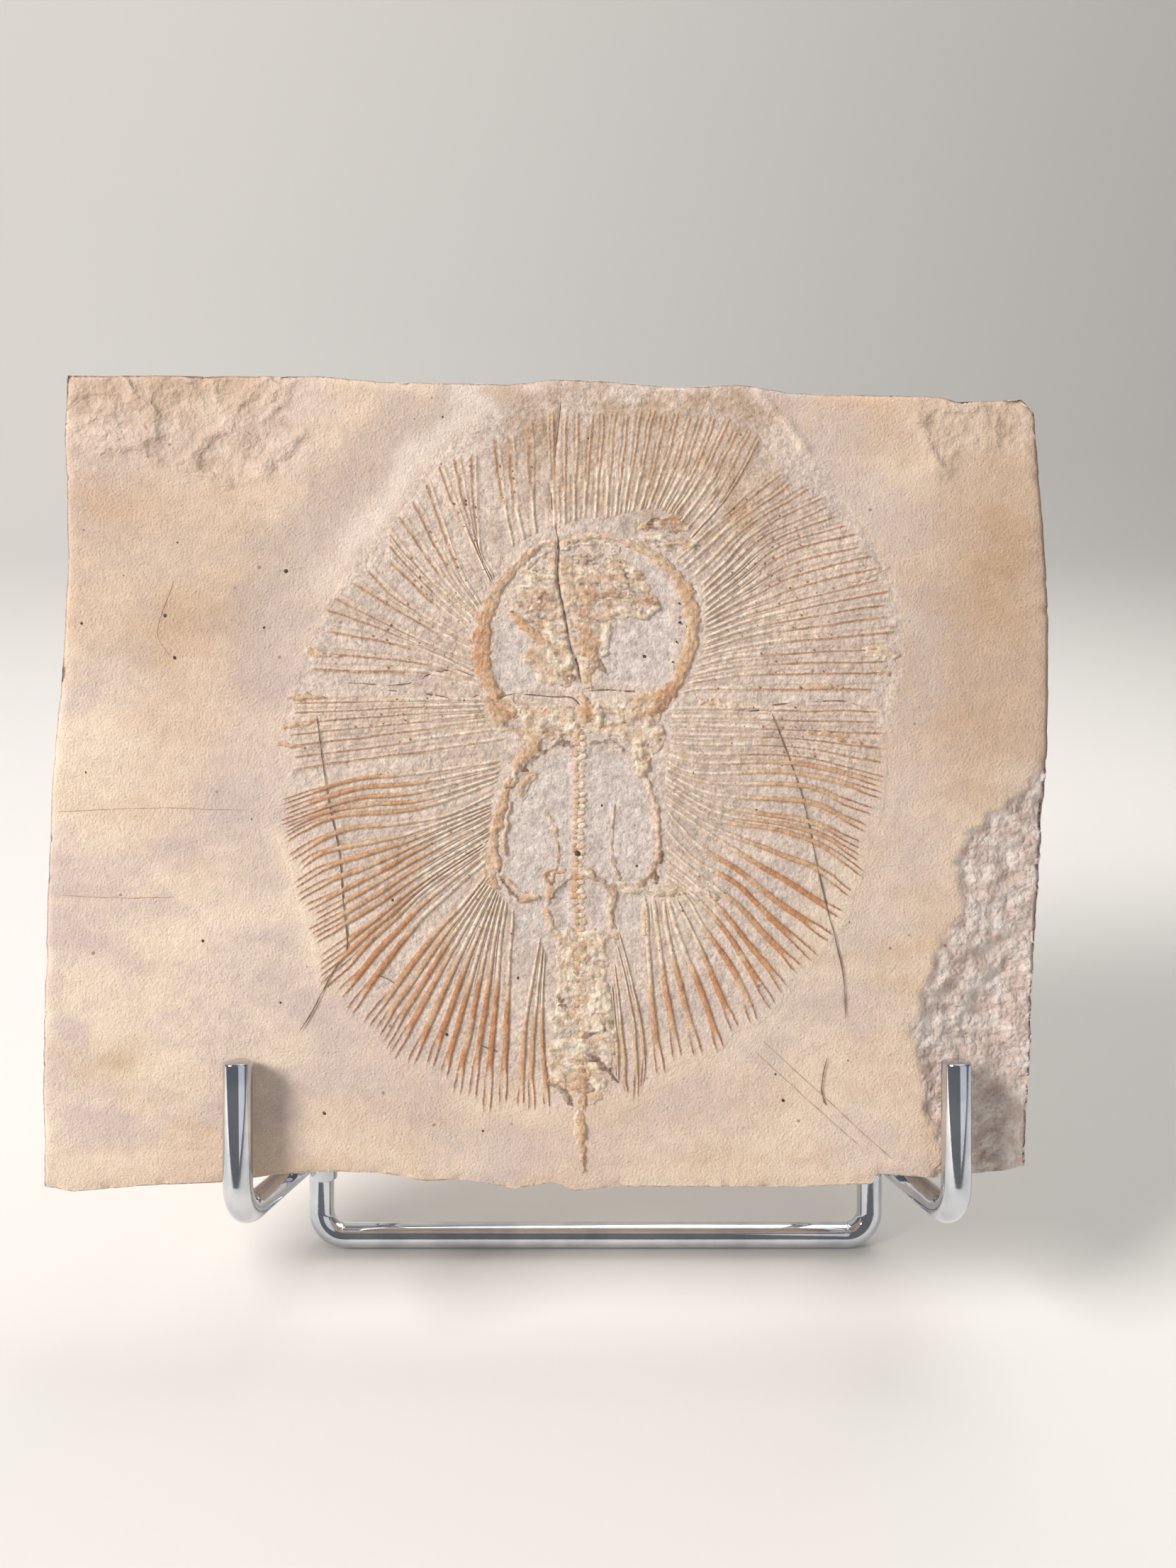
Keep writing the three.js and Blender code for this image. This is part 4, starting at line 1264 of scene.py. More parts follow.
PELVIS = [
    Stroke([(1.4, 47.6), (2.6, 49.2), (4.4, 50.1)], (0.6, 0.8, 0.8), 0.32, 0.1, 0.45),
    Stroke([(6.2, 50), (8, 49.6), (9.6, 48.5), (10.3, 46.9)], (0.9, 0.9, 0.8), 0.34, 0.1, 0.5),
    Stroke([(-0.2, 50.2), (0.8, 51), (3, 50.8)], (0.8, 1.1, 0.7), 0.35, 0.8),
    Stroke([(0.4, 49.6), (0.8, 47.6), (0.3, 45.4), (0.5, 43), (1.2, 41)], (1.6, 1.2, 1.1, 1.3, 1.4), 0.42,
           (0.7, 0.5, 0.3), (0.1, 0.2), 0.2),
    Stroke([(10.4, 49.6), (10.6, 47), (10.1, 44.6), (10.4, 42.4), (10.6, 40)], (1.1, 1.3, 1.2, 1.3), 0.42,
           (0.3, 0.4), (0.3, 0.2), 0.2),
    Stroke([(10.8, 48.9), (12.5, 48.2), (15, 47.8), (18, 47.5), (21, 47.8), (24, 47.8), (26.4, 46.6)],
           (1.0, 1.2, 1.1, 1.3, 1.3, 1.2, 0.7), 0.42, (0.2, 0.15, 0.1, 0.3, 0.15, 0.4), (0.1, 0.2, 0.1), 0.2),
    Stroke([(15.2, 46.4), (15.3, 44), (15.5, 41)], 0.8, 0.3, (0.2, 0.5), 0.1),
    Stroke([(5.8, 50.6), (7, 50.4)], 1.6, 0.55, 0.0),
    Stroke([(3.6, 41.8), (4.6, 40.8), (6.4, 40.6), (7.6, 41.6)], 1.0, 0.35, 0.25, 0.15, 0.2),
    Stroke([(6.6, 37.9), (6, 38.9), (5, 39), (4.3, 38.1), (4.5, 37.1), (5.4, 36.7), (6.3, 37.1), (6.6, 37.9)],
           0.8, 0.5, (0.5, 0.7, 0.5), 0.1),
    Stroke([(3.2, 40), (2.8, 37), (3.2, 33.5), (3, 30.4), (3.2, 27)], (2.4, 2.8, 2.4, 1.8, 2.4), 0.32,
           (0.15, 0.2, 0.05, 0.15), (0, 0.1, 0, 0.5, 0), 0.25),
    Stroke([(7.6, 40.4), (8.3, 37.6), (8, 34.6), (8.2, 32)],
           (2.6, 3, 2.8, 2.4), 0.3, (0.2, 0.3, 0.15), 0.05, 0.25),
    Stroke([(8.8, 32.4), (8.6, 30), (7.8, 28), (8, 26)], (2.6, 4.0, 4.2, 3.0), 0.6, (0.0, 0.0, 0.1), 0, 0.3),
    Stroke([(9.8, 30.6), (9.9, 27), (10.4, 24.6)], (1.2, 1.6, 1.4), 0.5, 0.0, 0, 0.25),
    Stroke([(1.2, 27.6), (3, 26.6), (4.4, 27.4)], (1.2, 1.6, 1.0), 0.4, 0.05, 0.05, 0.2),
    Stroke([(0.6, 23.2), (3, 23.9), (6, 23.9), (8.5, 24.1), (10.4, 23)], (1.0, 1.6, 1.8, 1.6, 1.0), 0.62,
           (0.1, 0.0, 0.15, 0.05), 0, 0.18),
    Stroke([(1.8, 21.6), (1.9, 19.6), (3.4, 18.2), (4.6, 16.6)],
           (2.8, 3.4, 3.2, 1.6), 0.42, (0.15, 0.3, 0.35), 0, 0.25),
    Stroke([(5.2, 21.6), (6, 20), (5.6, 18)], (2.6, 3.0, 2.4), 0.46, (0.3, 0.5, 0.7), 0, 0.22),
    Stroke([(7.2, 20.6), (8, 18.6), (8.4, 16.8), (7.2, 15.4)],
           (2.4, 3.2, 2.8, 1.6), 0.42, (0.35, 0.3, 0.25), 0, 0.25),
    Stroke([(6.5, 22.6), (8.6, 20.8), (10.4, 18.8), (11.2, 18)], (0.6, 1.1, 1.0, 0.6), 0.52, 0.2, 0.75, 0.1),
    Stroke([(0.4, 18.2), (2.4, 16.7), (4.1, 14.4)], (0.6, 1.0, 0.7), 0.42, 0.2, 0.6, 0.1),
    Stroke([(7.2, 25.2), (6.2, 25.3)], 1.2, 0.5, 0.4, 0.6),
    Stroke([(2.2, 30.5), (2.9, 29.9)], 1.0, 0.5, 0.3, 0.8),
]
TAIL = [
    Stroke([(5.5, 21), (5.8, 17), (5.6, 13.5), (5.7, 10.5), (5.6, 7), (5.9, 4)],
           (1.8, 1.6, 1.3, 1.5, 1.2, 0.4), 0.45, (0.85, 0.75, 0.6, 0.8, 0.7), (0.05, 0.2, 0, 0.1), 0.2),
    Stroke([(4.6, 14.4), (4.9, 11.5), (4.9, 8.4)], (0.7, 0.8, 0.4), 0.3, 0.1),
    Stroke([(4.2, 16.8), (6, 16.7), (7.4, 16.9)], (0.8, 1.2, 0.8), 0.5, (0.6, 0.8, 0.5), 0.3),
]
MARGIN_STUBS = [
    Stroke([(-40, 77.6), (-37, 77.8), (-34.5, 77.6)], (0.7, 1.0, 0.6), 0.45, (0.6, 0.8)),
    Stroke([(-41, 73.2), (-38, 73.8), (-35.5, 74)], (0.8, 1.0, 0.6), 0.45, (0.5, 0.8)),
    Stroke([(-41.5, 70.6), (-39, 70.3), (-37.5, 69.9)], 0.8, 0.4, (0.7, 0.6)),
    Stroke([(-37.2, 85.3), (-34.6, 84.6), (-32, 84.2)], (1.0, 1.2, 0.6), 0.35, (0.3, 0.5), 0.1),
    Stroke([(40.5, 79.6), (43, 79.5), (46, 79)], (0.8, 1.2, 0.7), 0.45, (0.5, 0.7)),
    Stroke([(50, 85.2), (52.4, 85), (54.5, 84.2)], (1.2, 1.8, 1.2), 0.4, 0.05),
    Stroke([(50.5, 82), (52, 81.9), (53.5, 81.4)], (0.8, 1.0), 0.35, 0.3),
    Stroke([(41, 72.4), (45, 71.8), (49, 70.8)], (0.8, 1.2, 0.8), 0.4, (0.6, 0.8)),
    Stroke([(24, 77.2), (27, 76.9), (30, 76.4)], (0.9, 1.2, 0.8), 0.35, 0.3),
    Stroke([(47.6, 96), (50.4, 97), (53, 98.2)], (0.8, 1.1, 0.8), 0.3, 0.2, 0.2),
]
COLUMN_LINE = [
    (5.3, 72.6), (5.2, 66), (5.1, 60), (5.0, 53.5), (5.0, 47), (5.2, 41), (5.2, 34), (5.3, 27), (5.5, 21),
]

# ---------------------------------------------------------------------------------------------
# Materials.


def colour(red, green, blue):
    """A colour given in the usual 0 to 255 screen values, as the shader's linear colour."""
    linear = []
    for value in (red, green, blue):
        share = value / 255
        linear.append(share / 12.92 if share <= 0.04045 else ((share + 0.055) / 1.055) ** 2.4)
    return (*linear, 1.0)


class Shades(Nodes):
    """The nodes of a material or of a shader node group."""

    def millimetres(self):
        """Places on the piece in millimetres, squared up with the leaning face."""
        place = self.add("ShaderNodeTexCoord").outputs["Object"]
        turned = self.add("ShaderNodeMapping", Vector=place, Rotation=(-FACE_TURN, 0, 0),
                          Scale=(1 / MM, 1 / MM, 1 / MM))
        return turned.outputs[0]

    def noise(self, place, size, detail=3.0, stretch=None, rough=0.55):
        """A soft noise whose patches are about size millimetres wide."""
        if stretch is not None:
            place = self.add("ShaderNodeMapping", Vector=place, Scale=stretch).outputs[0]
        node = self.add("ShaderNodeTexNoise", Vector=place, Scale=1 / size, Detail=detail, Roughness=rough)
        return node.outputs[0]

    def between(self, value, low, high, to_low=0.0, to_high=1.0):
        """Carries a value from one range to another, and keeps it there."""
        node = self.add("ShaderNodeMapRange", {"interpolation_type": "SMOOTHSTEP"}, Value=value,
                        From_Min=low, From_Max=high, To_Min=to_low, To_Max=to_high)
        return node.outputs[0]

    def math(self, operation, first, second):
        node = self.tree.nodes.new("ShaderNodeMath")
        node.operation = operation
        for socket, value in zip(node.inputs, (first, second)):
            self.fill(socket, value)
        return node.outputs[0]

    def times(self, first, second):
        return self.math("MULTIPLY", first, second)

    def plus(self, first, second):
        return self.math("ADD", first, second)

    def minus(self, first, second):
        return self.math("SUBTRACT", first, second)

    def mix(self, share, first, second, blend="MIX"):
        """Two colours mixed by a share."""
        node = self.tree.nodes.new("ShaderNodeMix")
        node.data_type = "RGBA"
        node.blend_type = blend
        sockets = [s for s in node.inputs if s.enabled]
        for socket, value in zip(sockets, (share, first, second)):
            self.fill(socket, value)
        return next(s for s in node.outputs if s.enabled)

    def brighten(self, base, share):
        """A colour made lighter or darker by a share."""
        grey = self.add("ShaderNodeCombineColor", Red=share, Green=share, Blue=share)
        return self.mix(1.0, base, grey.outputs[0], "MULTIPLY")

    def value(self, name):
        """A number kept on the mesh under a name."""
        return self.add("ShaderNodeAttribute", {"attribute_name": name}).outputs["Fac"]


def grain_group():
    """Stone grain: fine pits and grains as a height, and how light or dark each grain is."""
    group = bpy.data.node_groups.get("Stone Grain")
    if group:
        return group
    group = bpy.data.node_groups.new("Stone Grain", "ShaderNodeTree")
    size = group.interface.new_socket("Grain Size", in_out="INPUT", socket_type="NodeSocketFloat")
    size.default_value = 0.4
    pits = group.interface.new_socket("Pits", in_out="INPUT", socket_type="NodeSocketFloat")
    pits.default_value = 0.4
    group.interface.new_socket("Height", in_out="OUTPUT", socket_type="NodeSocketFloat")
    group.interface.new_socket("Lightness", in_out="OUTPUT", socket_type="NodeSocketFloat")
    shades = Shades(group)
    start, end = group.nodes.new("NodeGroupInput"), group.nodes.new("NodeGroupOutput")
    place = shades.millimetres()
    scale = shades.math("DIVIDE", 1.0, start.outputs["Grain Size"])
    fine = shades.add("ShaderNodeTexNoise", Vector=place, Scale=scale, Detail=4.0, Roughness=0.65).outputs[0]
    broad_scale = shades.times(scale, 0.22)
    broad = shades.add("ShaderNodeTexNoise", Vector=place, Scale=broad_scale, Detail=3.0).outputs[0]
    cells = shades.add("ShaderNodeTexVoronoi", Vector=place, Scale=shades.times(scale, 0.5))
    holes = shades.between(cells.outputs["Distance"], 0.05, 0.42, 1.0, 0.0)
    holes = shades.times(holes, start.outputs["Pits"])
    height = shades.plus(shades.times(broad, 0.55), fine)
    height = shades.minus(height, shades.times(holes, 0.5))
    group.links.new(height, end.inputs["Height"])
    light = shades.plus(shades.times(fine, 0.55), shades.times(broad, 0.45))
    group.links.new(shades.minus(light, shades.times(holes, 0.12)),
                    end.inputs["Lightness"])
    return group


def new_material(name):
    """A new material with its shader, ready for nodes."""
    material = bpy.data.materials.new(name)
    material.use_nodes = True
    shader = material.node_tree.nodes["Principled BSDF"]
    return material, Shades(material.node_tree), shader


def add_grain(shades, shader, base, size, pits, depth, spread, rubble=0.0):
    """Puts stone grain on a colour and a bump, with rubble added to it, on the shader."""
    grain = shades.add("ShaderNodeGroup", {"node_tree": grain_group()})
    shades.feed(grain, "Grain Size", size)
    shades.feed(grain, "Pits", pits)
    tint = shades.between(grain.outputs["Lightness"], 0.28, 0.72, 1 - spread, 1 + spread)
    shades.feed(shader, "Base Color", shades.brighten(base, tint))
    height = shades.plus(grain.outputs["Height"], rubble)
    bump = shades.add("ShaderNodeBump", Strength=1.0, Distance=depth * MM, Height=height)
    shades.feed(shader, "Normal", bump.outputs[0])
    return grain


def stone_colours(shades, place, settings):
    """Peach and cream stone, greyer round the fossil, browner at its top and raw in the chips.
    The darker tan at the upper right is partly painted shade.
    """

    def clouds(size, detail, low, high, least=0.0, stretch=None):
        """Patches about size millimetres wide, as a share from least to 1."""
        return shades.between(shades.noise(place, size, detail, stretch), low, high, least)

    def mottled(size, detail, low, high, first, second):
        """Two colours in patches about size millimetres wide."""
        return shades.mix(clouds(size, detail, low, high), colour(*first), colour(*second))

    value = shades.value
    cream = tuple(settings.cream)
    base = shades.mix(clouds(42, 4, 0.38, 0.64), tuple(settings.peach), cream)
    for where, strength, paint in (
        (clouds(19, 4, 0.50, 0.72, stretch=(0.55, 1.0, 1.0)), 0.7, tuple(settings.tan)),
        (clouds(23, 4, 0.47, 0.62, stretch=(1.0, 1.3, 1.0)), 0.8, tuple(settings.rose)),
        (clouds(9, 5, 0.40, 0.66, stretch=(0.45, 1.2, 1.0)), 0.45, cream),
        (value("tan_blotch"), 0.9, tuple(settings.golden)),
        # Darker tan at the upper corners, on the right partly painted shade.
        (value("tan_and_shade_top"), 0.75, colour(200, 169, 142)),
        (value("grey_band"), 0.7, colour(200, 180, 166)),
        (shades.times(value("halo"), clouds(8, 4, 0.36, 0.62, 0.35)), 0.66, tuple(settings.halo_grey)),
        (value("bleached"), 0.75, colour(240, 222, 208)),
        (value("disc"), 0.86, mottled(7, 4, 0.35, 0.65, (211, 193, 182), (230, 210, 195))),
        (shades.times(value("stain"), clouds(5, 5, 0.3, 0.7)), 0.7, colour(184, 152, 120)),
        (value("cavity"), 0.9, mottled(2.2, 4, 0.35, 0.65, (210, 195, 186), (230, 215, 206))),
        (value("chip"), 0.95, mottled(3, 5, 0.38, 0.62, (219, 196, 183), (243, 228, 218))),
        (value("flakes"), 0.65, mottled(6, 5, 0.38, 0.62, (206, 178, 156), (228, 205, 186))),
    ):
        base = shades.mix(shades.times(where, strength), base, paint)
    return base


def fossil_colours(shades, place, base, settings):
    """Painted grey-brown shade in the grooves between rays, and bone turned to mineral: cream, amber, rust or
    dark brown, the dark brown partly painted shade in the bones' crevices.
    """
    # Painted shade: the stone in the grooves between the rays is mixed towards a grey-brown.
    groove = shades.times(shades.value("groove"),
                         shades.between(shades.noise(place, 1.6, 4), 0.3, 0.6, 0.5, 1.0))
    base = shades.mix(shades.times(groove, 0.75), base, tuple(settings.groove))
    mottle = shades.noise(place, 1.1, 4)
    tone = shades.plus(shades.value("tone"),
                       shades.times(shades.minus(mottle, 0.5), 0.55))
    pale = shades.mix(shades.between(shades.noise(place, 1.7, 4), 0.4, 0.62), tuple(settings.bone_pale),
                      colour(220, 192, 160))
    bone = shades.mix(shades.between(tone, 0.05, 0.62), pale, tuple(settings.bone_amber))
    bone = shades.mix(shades.between(tone, 0.55, 1.05), bone, tuple(settings.bone_rust))
    # Part of the dark value is painted shade in the bones' crevices and between the rays; the rest is the
    # bone's own dark colour.
    shade = shades.plus(shades.value("dark"),
                        shades.between(shades.noise(place, 0.8, 3), 0.54, 0.72, 0.0, 0.34))
    bone = shades.mix(shades.between(shade, 0.0, 1.0, 0.0, 0.9), bone, tuple(settings.bone_dark))
    ragged = shades.times(shades.minus(shades.noise(place, 0.5, 3), 0.5), 1.3)
    share = shades.between(shades.plus(shades.value("bone"), ragged), 0.18, 0.95, 0.0, 0.9)
    return shades.mix(share, base, bone)


def limestone(name, settings):
    """The slab's stone with its fossil. The numbers kept on each piece say what lies where."""
    material, shades, shader = new_material(name)
    place = shades.millimetres()
    base = fossil_colours(shades, place, stone_colours(shades, place, settings), settings)
    motes = shades.add("ShaderNodeTexVoronoi", Vector=place, Scale=0.16, Randomness=1.0)
    mote = shades.between(motes.outputs["Distance"], 0.03, 0.06, 0.6, 0.0)
    base = shades.mix(mote, base, colour(110, 90, 76))
    patches = shades.between(shades.noise(place, 0.8, 6, None, 0.7), 0.36, 0.64, 0.83, 1.13)
    patches = shades.times(shades.minus(patches, 1.0), shades.value("disc"))
    base = shades.brighten(base, shades.plus(patches, 1.0))
    coarse = shades.plus(shades.value("chip"), shades.times(shades.value("flakes"), 0.3))
    coarse = shades.plus(coarse, shades.times(shades.value("disc"), 0.3))
    crumbs = shades.add("ShaderNodeTexVoronoi", Vector=place, Scale=0.62, Randomness=1.0, Detail=1.0)
    rubble = shades.times(shades.noise(place, 1.5, 6, None, 0.7), 3.2)
    rubble = shades.minus(rubble, shades.times(crumbs.outputs["Distance"], 3.0))
    rubble = shades.times(coarse, rubble)
    ridges = shades.add("ShaderNodeTexNoise", {"noise_type": "RIDGED_MULTIFRACTAL", "normalize": False},
                        Vector=place, Scale=0.11, Detail=4.0, Roughness=0.45, Offset=1.0, Gain=1.3)
    crests = shades.times(shades.between(ridges.outputs[0], 0.75, 1.6), 2.3)
    rubble = shades.plus(rubble, shades.times(shades.value("flakes"), crests))
    grain = add_grain(shades, shader, base, 0.38, 0.35, 0.27, 0.09, rubble)
    shades.feed(shader, "Roughness", shades.between(grain.outputs["Lightness"], 0.2, 0.8, 0.96, 0.78))
    shader.inputs["Specular IOR Level"].default_value = 0.25
    return material


def dark_mineral(name, pale, deep):
    """Dark mineral in cracks, joints and specks."""
    material, shades, shader = new_material(name)
    place = shades.millimetres()
    patches = shades.between(shades.noise(place, 1.4, 3), 0.35, 0.65)
    base = shades.mix(patches, colour(*pale), colour(*deep))
    grain = add_grain(shades, shader, base, 0.2, 0.2, 0.06, 0.15)
    shades.feed(shader, "Roughness", shades.between(grain.outputs["Lightness"], 0.2, 0.8, 0.9, 0.7))
    return material


def chrome(name, settings):
    """Polished chrome with a faint haze and hair-fine scuffs."""
    material, shades, shader = new_material(name)
    place = shades.millimetres()
    haze = shades.noise(place, 9, 4)
    tint = shades.mix(shades.between(haze, 0.3, 0.7), tuple(settings.chrome), colour(196, 200, 208))
    shades.feed(shader, "Base Color", tint)
    scuffs = shades.noise(place, 0.5, 3, (0.2, 1.0, 1.0))
    roughness = shades.plus(shades.between(haze, 0.4, 0.8, 0.05, 0.10),
                            shades.between(scuffs, 0.62, 0.75, 0.0, 0.08))
    shades.feed(shader, "Roughness", roughness)
    bump = shades.add("ShaderNodeBump", Strength=0.15, Distance=0.02 * MM, Height=scuffs)
    shades.feed(shader, "Normal", bump.outputs[0])
    shader.inputs["Metallic"].default_value = 1.0
    return material


def material_once(name, make, *arguments):
    """The material of that name, made the first time that it is asked for."""
    return bpy.data.materials.get(name) or make(name, *arguments)


def stone_material():
    return material_once("slab_stone", limestone, bpy.context.scene.fossil_ray)


# ---------------------------------------------------------------------------------------------
# Settings.


def colour_property(name, description, value):
    return bpy.props.FloatVectorProperty(
        name=name, description=description, default=colour(*value), size=4, min=0, max=1, subtype="COLOR")


class FossilRaySettings(bpy.types.PropertyGroup):
    """Sizes and colours of the slab and its fossil."""

    face_step: bpy.props.FloatProperty(
        name="Face Step", description="Distance between the places of the slab's face mesh",
        default=0.47 * MM, min=0.2 * MM, unit="LENGTH", precision=5)
    bone_step: bpy.props.FloatProperty(
        name="Bone Step", description="Distance between the places of the bone meshes",
        default=0.2 * MM, min=0.1 * MM, unit="LENGTH", precision=5)
    bead_spacing: bpy.props.FloatProperty(
        name="Vertebra Spacing", description="Distance between one vertebra and the next",
        default=0.98 * MM, unit="LENGTH", precision=5)
    speck_count: bpy.props.IntProperty(
        name="Specks", description="Number of dark mineral specks on the face", default=42, min=0)
    peach: colour_property("Peach Stone", "Main colour of the limestone", (226, 199, 176))
    cream: colour_property("Cream Stone", "Colour of the pale clouds in the limestone", (243, 223, 200))
    tan: colour_property("Tan Stone", "Colour of the warm streaks in the limestone", (206, 174, 140))
    rose: colour_property("Rose Stone", "Colour of the pink clouds in the limestone", (212, 192, 184))
    halo_grey: colour_property("Halo", "Colour of the stone round the fossil", (210, 192, 182))
    golden: colour_property("Golden Stone", "Colour of the golden blotch in the limestone", (192, 158, 118))
    # The grey-brown of the painted shade in the grooves between the rays.
    groove: colour_property("Grooves", "Colour of the grooves between the fossil's rays", (182, 157, 140))
    bone_pale: colour_property("Pale Bone", "Colour of the palest bone", (250, 234, 212))
    bone_amber: colour_property("Amber Bone", "Colour of the amber bone", (216, 178, 140))
    bone_rust: colour_property("Rusty Bone", "Colour of the rust-stained bone", (200, 136, 88))
    bone_dark: colour_property("Dark Bone", "Colour of the darkest bone", (108, 72, 58))


class WireStandSettings(bpy.types.PropertyGroup):
    """Sizes and colour of the wire stand."""

    wire_diameter: bpy.props.FloatProperty(
        name="Wire Diameter", description="Diameter of the round wire", default=4.5 * MM, unit="LENGTH",
        precision=5)
    tip_bevel: bpy.props.FloatProperty(
        name="Tip Bevel", description="Bevel round the cut ends of the wire", default=0.45 * MM,
        unit="LENGTH", precision=5)
    chrome: colour_property("Chrome", "Colour of the chrome", (226, 228, 232))


class StudioSettings(bpy.types.PropertyGroup):
    """The floor and the light."""

    floor: colour_property("Floor", "Colour of the floor and the backdrop", (226, 224, 220))
    key_power: bpy.props.FloatProperty(
        name="Key Light", description="Power of the main light", default=26.4, min=0, unit="POWER")
    fill_power: bpy.props.FloatProperty(
        name="Fill Light", description="Power of the fill light", default=0.7, min=0, unit="POWER")
    rim_power: bpy.props.FloatProperty(
        name="Rim Light", description="Power of the light above and behind", default=1.3, min=0,
        unit="POWER")


# ---------------------------------------------------------------------------------------------
# Operators.


class FOSSIL_OT_stage(bpy.types.Operator):
    """Sets the camera, the floor with its backdrop and the lights"""

    bl_idname = "fossil.stage"
    bl_label = "Studio"

    def execute(self, context):
        settings = context.scene.fossil_studio
        self.camera(context)
        self.floor(settings)
        for name, place, power, size, tint in (
            ("key", (-1090, 700, 790), settings.key_power, 0.5, (1.0, 0.965, 0.94)),
            ("fill", (420, 120, 520), settings.fill_power, 0.6, (0.93, 0.96, 1.0)),
            ("rim", (140, 520, -60), settings.rim_power, 0.4, (1.0, 0.98, 0.95)),
        ):
            self.light(name, place, power, size, tint)
        world = bpy.data.worlds.new("studio")
        context.scene.world = world
        world.use_nodes = True
        world.node_tree.nodes["Background"].inputs["Color"].default_value = (0.86, 0.88, 0.92, 1)
        world.node_tree.nodes["Background"].inputs["Strength"].default_value = 0.2
        context.scene.view_settings.view_transform = "Standard"
        return {"FINISHED"}

    def camera(self, context):
        """Square on to the leaning face, a little above its middle."""
        data = bpy.data.cameras.new("camera")
        data.lens = CAMERA_LENS
        data.sensor_width = 36
        data.clip_start = 0.01
        camera = bpy.data.objects.new("camera", data)
        context.scene.collection.objects.link(camera)
        camera.matrix_world = FACE_TO_WORLD @ Matrix.Translation(Vector(CAMERA_PLACE) * MM)
        context.scene.camera = camera

    def floor(self, settings):
        """A pale sheet that lies under the stand and curves up behind it."""
        half, front, back, top, bend = 3.0, -2.0, 1.1, 2.4, 0.5
        profile = [(front, 0.0)]
        for step in range(13):
            angle = math.pi / 2 * step / 12
            profile.append((back - bend + bend * math.sin(angle), bend - bend * math.cos(angle)))
        profile.append((back, top))
        places = [(x, y, z) for y, z in profile for x in (-half, half)]
        faces = [(2 * k, 2 * k + 1, 2 * k + 3, 2 * k + 2) for k in range(len(profile) - 1)]
        sheet = make_object("floor", places, faces)
        material, _, shader = new_material("floor")
        shader.inputs["Base Color"].default_value = tuple(settings.floor)
        shader.inputs["Roughness"].default_value = 0.9
        sheet.data.materials.append(material)
        sheet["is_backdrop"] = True

    def light(self, name, place, power, size, tint):
        """A square soft light that faces the middle of the slab."""
        data = bpy.data.lights.new(name, "AREA")
        data.energy = power
        data.size = size
        data.color = tint
        lamp = bpy.data.objects.new(name, data)
        bpy.context.scene.collection.objects.link(lamp)
        spot = FACE_TO_WORLD @ (Vector(place) * MM)
        middle = FACE_TO_WORLD @ (Vector(LIT_PLACE) * MM)
        lamp.location = spot
        lamp.rotation_euler = (middle - spot).to_track_quat("-Z", "Y").to_euler()


class FOSSIL_OT_slab(bpy.types.Operator):
    """Builds the slab of limestone"""

    bl_idname = "fossil.slab"
    bl_label = "Limestone Slab"

    def execute(self, context):
        settings = context.scene.fossil_ray
        places, faces, values = slab_mesh(settings.face_step / MM)
        piece = make_object("slab", lay_on_face(places), faces)
        store_values(piece.data, **values)
        finish_piece(piece, stone_material())
        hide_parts("fossil_slab")
        return {"FINISHED"}


class FOSSIL_OT_fins(bpy.types.Operator):
    """Builds the rays of the two great fins and of the small fins by the tail"""

    bl_idname = "fossil.fins"
    bl_label = "Fin Rays"

    def execute(self, context):
        for name, fan, seed in (
            ("left_fin_rays", LEFT_FAN, 100), ("right_fin_rays", RIGHT_FAN, 300),
            ("left_pelvic_rays", PELVIC_FINS[:1], 500), ("right_pelvic_rays", PELVIC_FINS[1:], 520),
        ):
            finish_piece(web_piece(name, fan, seed), stone_material())
        return {"FINISHED"}


class FOSSIL_OT_joints(bpy.types.Operator):
    """Builds the dark joints of the rays and the specks in the stone"""

    bl_idname = "fossil.joints"
    bl_label = "Joints and Specks"

    def execute(self, context):
        settings = context.scene.fossil_ray
        tree = dot_tree()
        places, sizes = ray_joint_places([LEFT_FAN, RIGHT_FAN[1:]])
        joint = material_once("joint_mineral", dark_mineral, (176, 142, 112), (130, 98, 76))
        self.scatter("ray_joints", tree, places, sizes, 0.55, 7, joint)
        chance = np.random.default_rng(23)
        spots = np.column_stack([
            chance.uniform(-74, 55, settings.speck_count), chance.uniform(6, 122, settings.speck_count)])
        spots = np.vstack([spots, [(-40.5, 97.5), (15.4, 84.2), (37, 15), (-34.5, 13), (20.8, 92.4),
                                   (20.9, 89.4), (20.4, 86.4), (19.8, 83.3), (5, 53.5)]])
        sizes = np.concatenate([chance.uniform(0.09, 0.26, settings.speck_count), [0.32, 0.3, 0.25, 0.25],
                                [0.17, 0.2, 0.16, 0.16], [0.5]])
        places = np.column_stack([spots, face_height(spots[:, 0], spots[:, 1]) + 0.02])
        places[-5:, 2] += 0.15
        speck = material_once("speck_mineral", dark_mineral, (92, 74, 62), (56, 44, 38))
        self.scatter("specks", tree, places, sizes, 0.4, 9, speck)
        return {"FINISHED"}

    def scatter(self, name, tree, places, sizes, flatness, seed, material):
        source = path_source(name, [places], half_width=sizes * MM)
        piece = grow(name, tree, source, {"Flatness": flatness, "Seed": seed, "Material": material})
        finish_piece(piece)


class FOSSIL_OT_bones(bpy.types.Operator):
    """Builds the ring of the head, the skull, the girdles, the body's walls and the tail"""

    bl_idname = "fossil.bones"
    bl_label = "Bones"

    def execute(self, context):
        settings = context.scene.fossil_ray
        cell = settings.bone_step / MM
        for name, strokes, rubble, seed in (
            ("head_ring", HEAD_RING, [], 601), ("skull", SKULL, SKULL_RUBBLE, 611),
            ("shoulder_girdle", SHOULDER, SHOULDER_RUBBLE, 621), ("body_walls", BODY_WALLS, [], 631),
            ("pelvis", PELVIS, PELVIS_RUBBLE, 641), ("tail", TAIL, [], 651),
            ("margin_stubs", MARGIN_STUBS, [], 661),
        ):
            piece = bone_piece(name, strokes, rubble, seed, cell)
            finish_piece(piece, stone_material())
        return {"FINISHED"}


